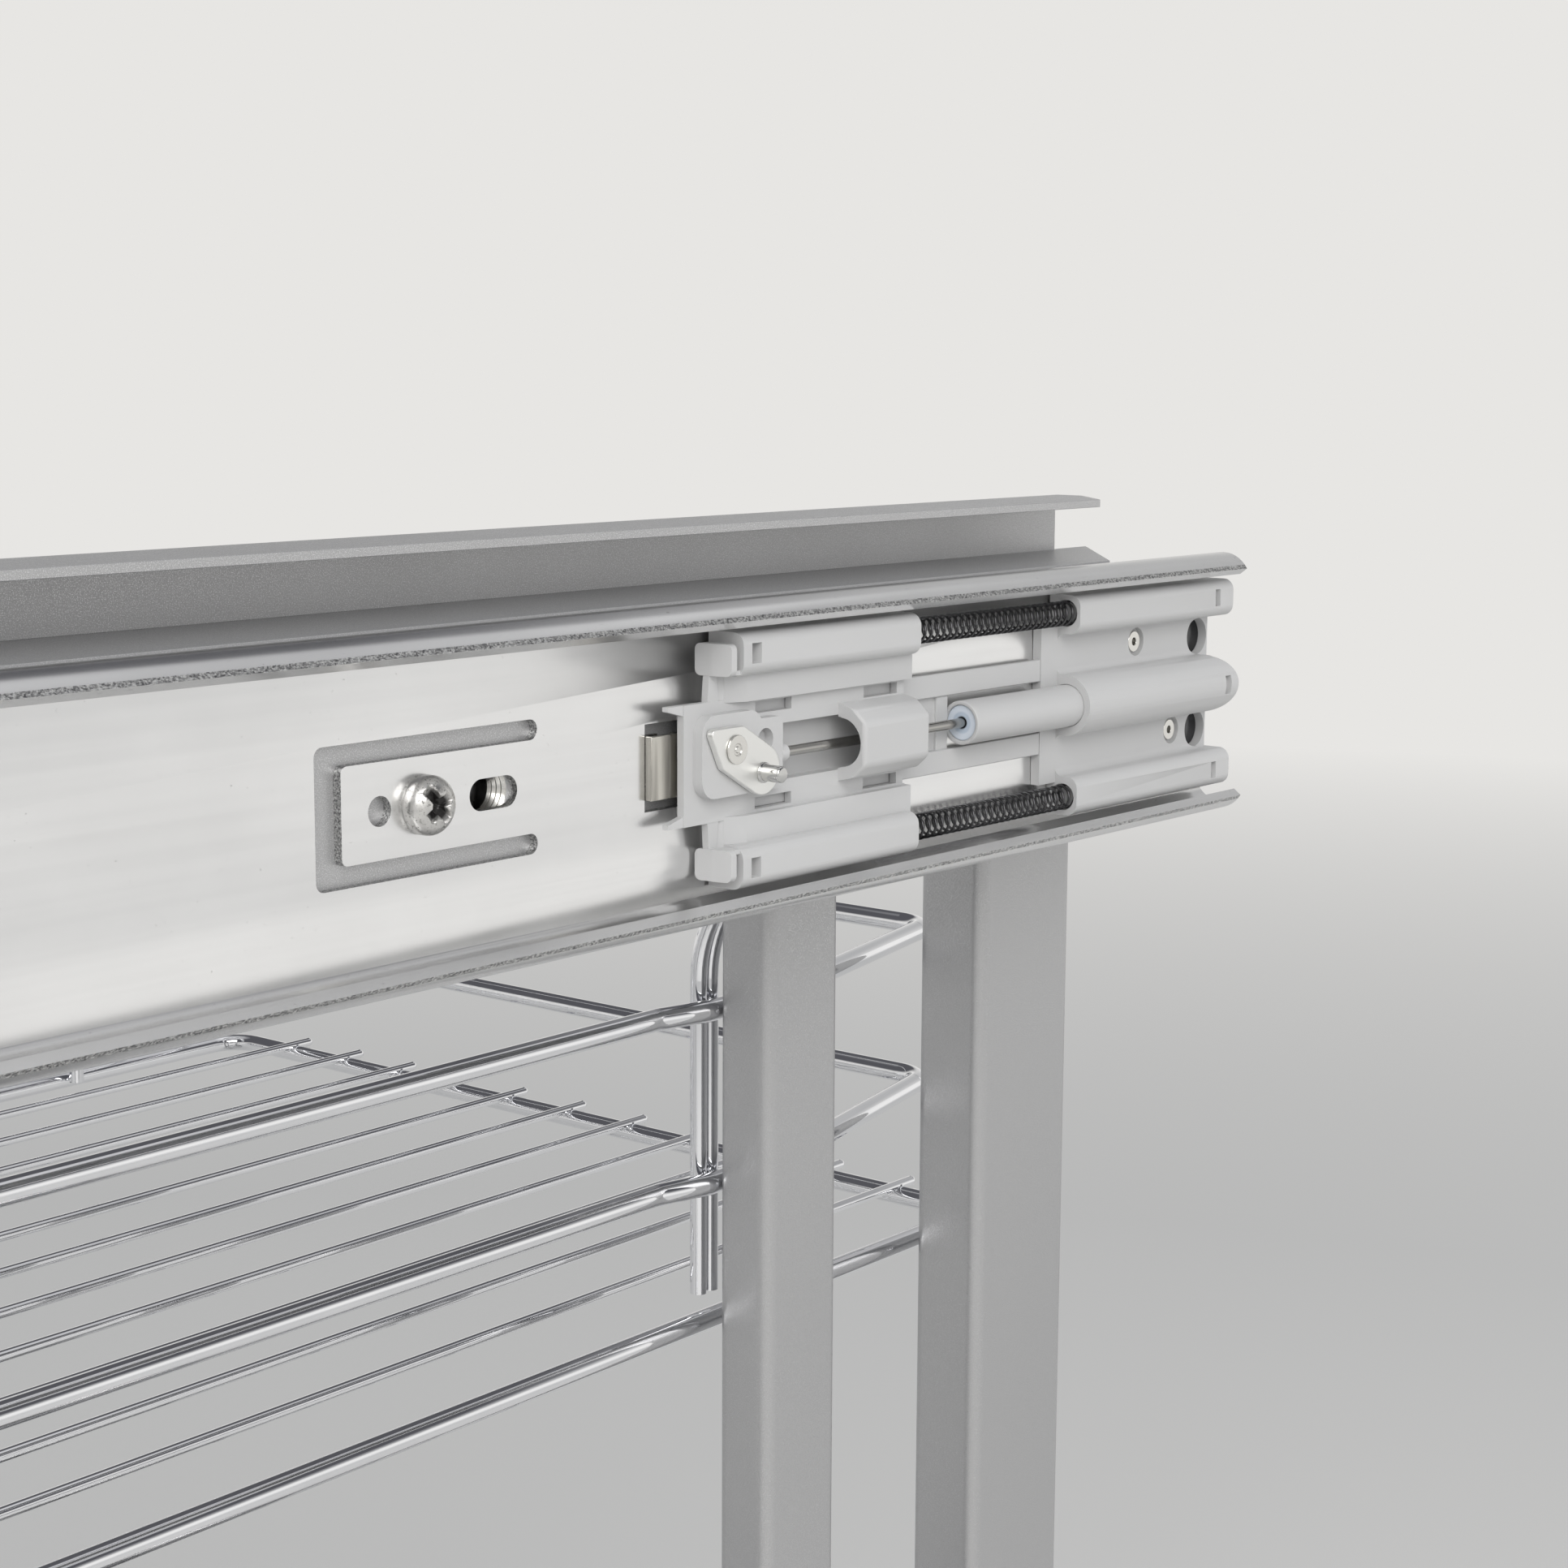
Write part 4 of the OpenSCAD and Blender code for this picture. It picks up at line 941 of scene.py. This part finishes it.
fresh = cross((20, 2.9), (110, 2.9), (200, 2.9), (290, 2.9))
heads = bmesh.new()
for x, z in ((LEFT_SCREW_X, 0), (LEFT_SCREW_X, LOWER_SLIDE), (TAB_SCREW_X, LOWER_SLIDE)):
    one = bpy.data.meshes.new("one screw")
    single = screw_facing(x, z, fresh)
    single.to_mesh(one)
    single.free()
    heads.from_mesh(one)
    bpy.data.meshes.remove(one)
slide_screws = object_of("slide_screws_worn", heads, screw_zinc)
for screws, node in ((tab_screw, "tab_screw"), (slide_screws, "slide_screws")):
    crease(screws, TURNED_CREASE)
    stand_for(screws, node)

# %% [markdown]
# The threaded collar behind the tab's oval hole takes a second screw. Its thread shows through
# the hole as bright lines across a dark bore, so it is turned as a ridged sleeve that is sunk a
# hair into the bore's wall, and a black disc of painted shade closes its far end.

# %% Thread in the collar
COLLAR_STEPS = 64
COLLAR_FROM = 12.1
COLLAR_TO = 16.5
COLLAR_PITCH = 1.1
COLLAR_ROOT = (COLLAR_BORE - 0.08, 0.1)
COLLAR_CREST = (COLLAR_BORE - 0.45, 0.6)
SLEEVE_IN = COLLAR_BORE - 0.02
SLEEVE_OUT = COLLAR_BORE + 0.03
BORE_SHADE_THICK = 0.5
BORE_SHADE_EDGE = 0.4


def in_collar(u, v, depth):
    return at_rear(COLLAR_X + u, depth, v)


def added(name, shape, material, node, angle=CREASE):
    """A piece without a CAD node. It rides with a node."""
    piece = object_of(name, shape, material)
    crease(piece, angle)
    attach(piece, BODY[node])
    print(piece.name, "rides with", node)


ridges = [(SLEEVE_IN, COLLAR_FROM)]
for ridge in range(int((COLLAR_TO - COLLAR_FROM) / COLLAR_PITCH)):
    start = COLLAR_FROM + ridge * COLLAR_PITCH
    ridges += [(radius, start + depth) for radius, depth in (COLLAR_ROOT, COLLAR_CREST)]
ridges += [(SLEEVE_IN, COLLAR_TO), (SLEEVE_OUT, COLLAR_TO), (SLEEVE_OUT, COLLAR_FROM)]
# the black disc at the far end of the bore is painted shade
bore_shade = [
    (0.0, COLLAR_TO - BORE_SHADE_THICK), (COLLAR_BORE - BORE_SHADE_EDGE, COLLAR_TO - BORE_SHADE_THICK),
    (SLEEVE_IN, COLLAR_TO - BORE_SHADE_EDGE), (SLEEVE_IN, COLLAR_TO), (0.0, COLLAR_TO),
]
for name, rings, material, closed in (
    ("collar_thread", ridges, nickel, True), ("collar_plug", bore_shade, dark_wire_and_painted_shade, False),
):
    shape = turned(rings, COLLAR_STEPS, in_collar, loop=closed)
    added(name, shape, material, "top_rail", TURNED_CREASE)

# %% [markdown]
# The housing has two open holes near its end, and the slide's web is pierced behind them. The CAD
# model's web is whole there, so a thin black disc on the web is painted shade for each dark hole.

# %% Painted shade in the holes behind the housing
SHADE_DISC_STEPS = 48
HOUSING_HOLE_X = -6.8
HOUSING_HOLE_Z = 10.1
SHADE_DISC_R = 3.9
SHADE_DISC_THICK = 0.12
SHADE_DISC_GAP = 0.02


def hole_shade_disc(side):
    """A black disc of painted shade that lies a hair in front of the web."""
    def place(u, v, height):
        return at_rear(HOUSING_HOLE_X + u, WEB_Y - SHADE_DISC_GAP - height, side * HOUSING_HOLE_Z + v)
    rings = [(0.0, 0.0), (SHADE_DISC_R, 0.0), (SHADE_DISC_R, SHADE_DISC_THICK), (0.0, SHADE_DISC_THICK)]
    return turned(rings, SHADE_DISC_STEPS, place)


# each black disc is painted shade inside one of the housing's holes
for name, side in (("socket_upper", 1), ("socket_lower", -1)):
    added(name, hole_shade_disc(side), dark_wire_and_painted_shade, "soft_close_housing")

# %% [markdown]
# ### Springs
# Two long springs of thin dark wire pull the slider home. A spring is a spiral with a round
# section: the rule needs its curls, its radius, its length and the wire. On the real one the curls
# close up as the slider comes home. One stiff body can't do that, so here each spring keeps its
# full length and gets a mesh of its own.

# %% Springs
CURLS = 29.0
SPRING_X = (-118.9, -58.5)
SPRING_Y = 6.3
SPRING_Z = 18.8
SPRING_R = 2.32
SPRING_WIRE_R = 0.27

coil = Recipe("coil spring", Curls=CURLS, Radius=0.002, Length=0.06, Wire=0.0003)
spiral = coil.node(
    "GeometryNodeCurveSpiral", {},
    {"Resolution": 18, "Rotations": coil.inputs["Curls"], "Start Radius": coil.inputs["Radius"],
     "End Radius": coil.inputs["Radius"], "Height": coil.inputs["Length"]},
)
wound = coil.moved(coil.tube(spiral, coil.inputs["Wire"], 8), (0, 0, 0), (0, math.pi / 2, 0))
coil.end(coil.on_points(coil.points, wound), dark_wire_and_painted_shade)
length = SPRING_X[1] - SPRING_X[0]
for name, side in (("spring_upper", 1), ("spring_lower", -1)):
    spring = coil.grow(
        name + "_coil", [at_rear(SPRING_X[0], SPRING_Y, side * SPRING_Z)],
        Curls=CURLS, Radius=SPRING_R * MM, Length=length * MM, Wire=SPRING_WIRE_R * MM,
    )
    stand_for(spring, name)
    at_rear(SPRING_X[1], SPRING_Y, side * SPRING_Z)
    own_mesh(spring)

# %% [markdown]
# ### Balls
# The slide members roll on rows of steel balls that a thin strip keeps apart. A row is a line of
# points with a ball on each, and the rule puts a whole row on each point that it is given. Every
# slide has two outer and two inner rows, one above and one below its middle.

# %% Rule for a row of balls
rows = Recipe(
    "ball rows", Balls=12, Step=(0.006, 0.0, 0.0), Radius=0.0025, Strip=(0.1, 0.005, 0.0006)
)
line = rows.node(
    "GeometryNodeMeshLine", {"mode": "OFFSET"},
    {"Count": rows.inputs["Balls"], "Offset": rows.inputs["Step"]},
)
ball = rows.node(
    "GeometryNodeMeshUVSphere", {}, {"Segments": 14, "Rings": 8, "Radius": rows.inputs["Radius"]}
)
strip = rows.node("GeometryNodeMeshCube", {}, {"Size": rows.inputs["Strip"]})
middle = rows.vector_math("SCALE", rows.inputs["Step"])
rows.fill(middle.socket.node.inputs["Scale"], (rows.inputs["Balls"] - 1.0) * 0.5)
row = rows.together(rows.on_points(line, ball), rows.moved(strip, middle))
rows.end(rows.on_points(rows.points, row), polished)
print("nodes in the rule:", len(rows.nodes))

# %% [markdown]
# How far a row runs comes from the box of the CAD node it replaces, and as many balls as fit make
# it full. Where it lies across the slide comes from the slide's section.

# %% Rows of balls
BALL_GAP = 1.15
STRIP_WIDE = 1.08
STRIP_THICK = 0.6
OUTER_BALL, OUTER_HEIGHT = 5.0, 23.9
INNER_BALL, INNER_HEIGHT = 3.9, 17.65
OUTER_ROW_Y = 6.0
INNER_ROW_Y = 0.5
FLOOR_OUTER_X = (-503, -6)
FLOOR_INNER_X = (-497.5, -11.5)
FLOOR_SLIDE = -460


def places(asides, slides, height):
    """Pairs (aside, height) of rows that lie that far above and below the middles of slides."""
    return [(aside, slide + side * height)
            for aside in asides for slide in slides for side in (-1, 1)]


def ball_rows(node, lay, diameter, spots):
    """Full rows of balls along the axis lay, in place of a node's cages."""
    low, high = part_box(node)
    across = 1 - lay
    pitch = diameter * BALL_GAP
    run = (high[lay] - low[lay]) / MM
    balls = int(run / pitch)
    step = [0.0, 0.0, 0.0]
    step[lay] = pitch * MM
    strip = [0.0, 0.0, STRIP_THICK * MM]
    strip[lay] = run * MM
    strip[across] = diameter * STRIP_WIDE * MM
    points = []
    for aside, height in spots:
        # aside is the place across the row, and the place along it comes from the node's box
        point = at_rear(aside, aside, height)
        point[lay] = low[lay] + (run - (balls - 1) * pitch) / 2 * MM
        points.append(point)
    made = rows.grow(
        node + "_rows", points,
        Balls=balls, Step=tuple(step), Radius=diameter / 2 * MM, Strip=tuple(strip),
    )
    crease(made, WIRE_CREASE)
    stand_for(made, node)


cross_slides = (0, LOWER_SLIDE)
floor_slides = (FLOOR_SLIDE,)
ball_rows("slide_outer_cages", 0, OUTER_BALL, places((OUTER_ROW_Y,), cross_slides, OUTER_HEIGHT))
ball_rows("slide_inner_cages", 0, INNER_BALL, places((INNER_ROW_Y,), cross_slides, INNER_HEIGHT))
ball_rows("pull_outer_cages", 1, OUTER_BALL, places(FLOOR_OUTER_X, floor_slides, OUTER_HEIGHT))
ball_rows("pull_inner_cages", 1, INNER_BALL, places(FLOOR_INNER_X, floor_slides, INNER_HEIGHT))

# %% [markdown]
# ### Baskets
# A basket's floor is a ring of thick rod with thin wires welded across it. On the real one each
# wire runs a little past the ring, its cut tip is tumbled round, and the weld leaves a small
# nugget. One wire with its tips and nuggets is put on a line of points that crosses the ring.

# %% Rule for a basket floor
RING_ROD_R = 2.3
NUGGET = 1.3

floors = Recipe(
    "basket floor", Length=0.4, Depth=0.2, Bend=0.009, Rod=RING_ROD_R * MM, Wires=11, First=0.023,
    Pitch=0.0215, Over=0.005, Wire=0.0012, Turn=(0.0, 0.0, 0.0),
)
size = floors.inputs
outline = floors.node(
    "GeometryNodeCurvePrimitiveQuadrilateral", {"mode": "RECTANGLE"},
    {"Width": size["Length"], "Height": size["Depth"]},
)
bent = floors.node(
    "GeometryNodeFilletCurve", {"mode": "POLY"},
    {"Curve": outline, "Count": 7, "Radius": size["Bend"]},
)
half = size["Length"] * 0.5
reach = half + size["Over"]
straight = floors.node(
    "GeometryNodeCurvePrimitiveLine", {},
    {"Start": floors.vector(reach * -1.0), "End": floors.vector(reach)},
)
tip = floors.node(
    "GeometryNodeMeshUVSphere", {}, {"Segments": 8, "Rings": 6, "Radius": size["Wire"]}
)
nugget = floors.node(
    "GeometryNodeMeshUVSphere", {},
    {"Segments": 10, "Rings": 6, "Radius": size["Wire"] * NUGGET},
)
both_ends = (-1.0, 1.0)
sunk = size["Wire"] * -0.5
wire = floors.together(
    floors.tube(straight, size["Wire"], 10),
    *(floors.moved(tip, floors.vector(reach * side)) for side in both_ends),
    *(floors.moved(nugget, floors.vector(half * side, 0.0, sunk)) for side in both_ends),
)
first = floors.vector(0.0, size["First"] - size["Depth"] * 0.5, size["Rod"])
welds = floors.node(
    "GeometryNodeMeshLine", {"mode": "OFFSET"},
    {"Count": size["Wires"], "Start Location": first, "Offset": floors.vector(0.0, size["Pitch"])},
)
whole = floors.together(floors.tube(bent, size["Rod"], 16), floors.on_points(welds, wire))
floors.end(floors.on_points(floors.points, floors.moved(whole, (0, 0, 0), size["Turn"])), chrome)
print("nodes in the rule:", len(floors.nodes))

# %% [markdown]
# The wires of the rear floors run sideways. Those of the front floors run from front to back, so
# the shape is turned by a quarter, and they end at the ring.


# %% Basket floors
def basket_floor(node, **values):
    """A welded floor in place of a node, with its ring at the bottom of the node's box."""
    low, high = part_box(node)
    place = Vector(((low.x + high.x) / 2, (low.y + high.y) / 2, low.z + RING_ROD_R * MM))
    made = floors.grow(node + "_welded", [place], **values)
    crease(made, WIRE_CREASE)
    stand_for(made, node)


for node in ("rear_upper_grid", "rear_lower_grid"):
    basket_floor(node, Length=0.466, Depth=0.2634, Wires=11)
for node in ("front_upper_grid", "front_lower_grid"):
    basket_floor(
        node, Length=0.2264, Depth=0.285, Wires=12, Over=0.0, Turn=(0.0, 0.0, -math.pi / 2)
    )
painted(
    chrome, "rear_upper_rim", "rear_lower_rim", "rear_upper_hangers", "rear_lower_hangers",
    "front_upper_rim", "front_lower_rim",
)

# %% [markdown]
# ## Studio
# A plain pale floor fades into a plain pale background of the same colour.

# %% Floor
BACKDROP = (0.80, 0.79, 0.77)
FLOOR_RADIUS = 5.0
FLOOR_DROP = 0.2
FADE = (1.6, 4.0)


def floor_finish():
    paper = Finish("pale floor")
    distance = paper.vector_math("LENGTH", paper.place, out=1)
    lit = paper.node("ShaderNodeBsdfDiffuse", {}, {"Color": (*BACKDROP, 1)})
    far = paper.node("ShaderNodeEmission", {}, {"Color": (*BACKDROP, 1), "Strength": 1.0})
    mixed = paper.node(
        "ShaderNodeMixShader", {}, {0: paper.step(distance, *FADE), 1: lit, 2: far}
    )
    output = paper.nodes.new("ShaderNodeOutputMaterial")
    paper.links.new(mixed.socket, output.inputs["Surface"])
    return paper.material


disc = bmesh.new()
bmesh.ops.create_circle(disc, cap_ends=True, segments=96, radius=FLOOR_RADIUS)
floor = object_of("floor", disc, floor_finish())
floor.location.z = cad_bounds[0].z - FLOOR_DROP * MM
print("floor at", round(floor.location.z, 4))

# %% [markdown]
# Metal shows whatever stands around it, so the upper part of the surroundings is dark: it never
# shows in a level view, but it draws the dark lines along the rods and races. It is dark up to a
# certain share of the way to the right and paler beyond. A race or a rod along the slide keeps
# that share of a ray when it mirrors it, so its right end gets the paler part. What lights the
# object is an even pale sky, and the camera, mirrors and clear pieces see the surroundings.

# %% Surroundings
DARK = (0.10, 0.10, 0.11)
GREY = (0.50, 0.50, 0.50)
ZENITH = (0.65, 0.65, 0.66)
HORIZON = 0.56
TURNED_RIGHT = (0.68, 0.80)
SKY = (0.95, 0.97, 1.0, 1)

world = bpy.data.worlds.new("studio")
world.use_nodes = True
world.node_tree.nodes.clear()
air = Tree(world.node_tree.nodes, world.node_tree.links)
direction = air.node("ShaderNodeTexCoord", out="Generated")
sideways, upwards = (
    air.node("ShaderNodeSeparateXYZ", {}, {0: direction}, out=axis) for axis in (0, 2)
)
height = upwards * 0.5 + 0.5
pale_below = ((0.0, BACKDROP), (HORIZON, BACKDROP))
dark_above = air.ramp(height, *pale_below, (0.67, DARK), (0.88, DARK), (1.0, ZENITH))
pale_above = air.ramp(height, *pale_below, (0.72, GREY), (1.0, ZENITH))
seen = air.mix(air.step(sideways, *TURNED_RIGHT), dark_above, pale_above)
lighting = air.node("ShaderNodeBackground", {}, {"Color": SKY, "Strength": 0.50})
shown = air.node("ShaderNodeBackground", {}, {"Color": seen, "Strength": 1.0})
is_camera = air.node("ShaderNodeLightPath", out="Is Camera Ray")
is_glossy = air.node("ShaderNodeLightPath", out="Is Glossy Ray")
is_through = air.node("ShaderNodeLightPath", out="Is Transmission Ray")
by_ray = air.node(
    "ShaderNodeMixShader", {},
    {0: air.math("MINIMUM", is_camera + is_glossy + is_through, 1.0), 1: lighting, 2: shown},
)
world_out = air.nodes.new("ShaderNodeOutputWorld")
air.links.new(by_ray.socket, world_out.inputs["Surface"])
bpy.context.scene.world = world
print("nodes of the surroundings:", len(world.node_tree.nodes))

# %% [markdown]
# The lamps are wide and soft. The key stands at the left, in front and above. A weak card at the
# right, in front, is what the flat steel mirrors. The top lamp is weak too: it stands to the
# right, where the races mirror it, and more of it would burn a white line into them.

# %% Lamps
AIM = at_rear(-90, 0, 0)


def lamp(name, offset, size, watts, colour=(1, 1, 1)):
    """A wide lamp at offset metres from the soft-close unit, turned towards it."""
    data = bpy.data.lights.new(name, "AREA")
    data.shape = "RECTANGLE"
    data.size, data.size_y = size
    data.energy = watts
    data.color = colour
    made = bpy.data.objects.new(name, data)
    made.location = AIM + Vector(offset)
    made.rotation_mode = "QUATERNION"
    made.rotation_quaternion = (-Vector(offset)).to_track_quat("-Z", "Y")
    bpy.context.scene.collection.objects.link(made)
    print("lamp", name, "of", watts, "W")


lamp("key", (-0.95, -1.10, 0.90), (1.6, 1.1), 20, (1.0, 0.99, 0.975))
lamp("card", (1.05, -1.10, -0.05), (2.4, 1.4), 1.6)
lamp("top", (0.75, -0.25, 1.5), (1.5, 1.2), 2.2)
bpy.context.scene.view_settings.view_transform = "Standard"
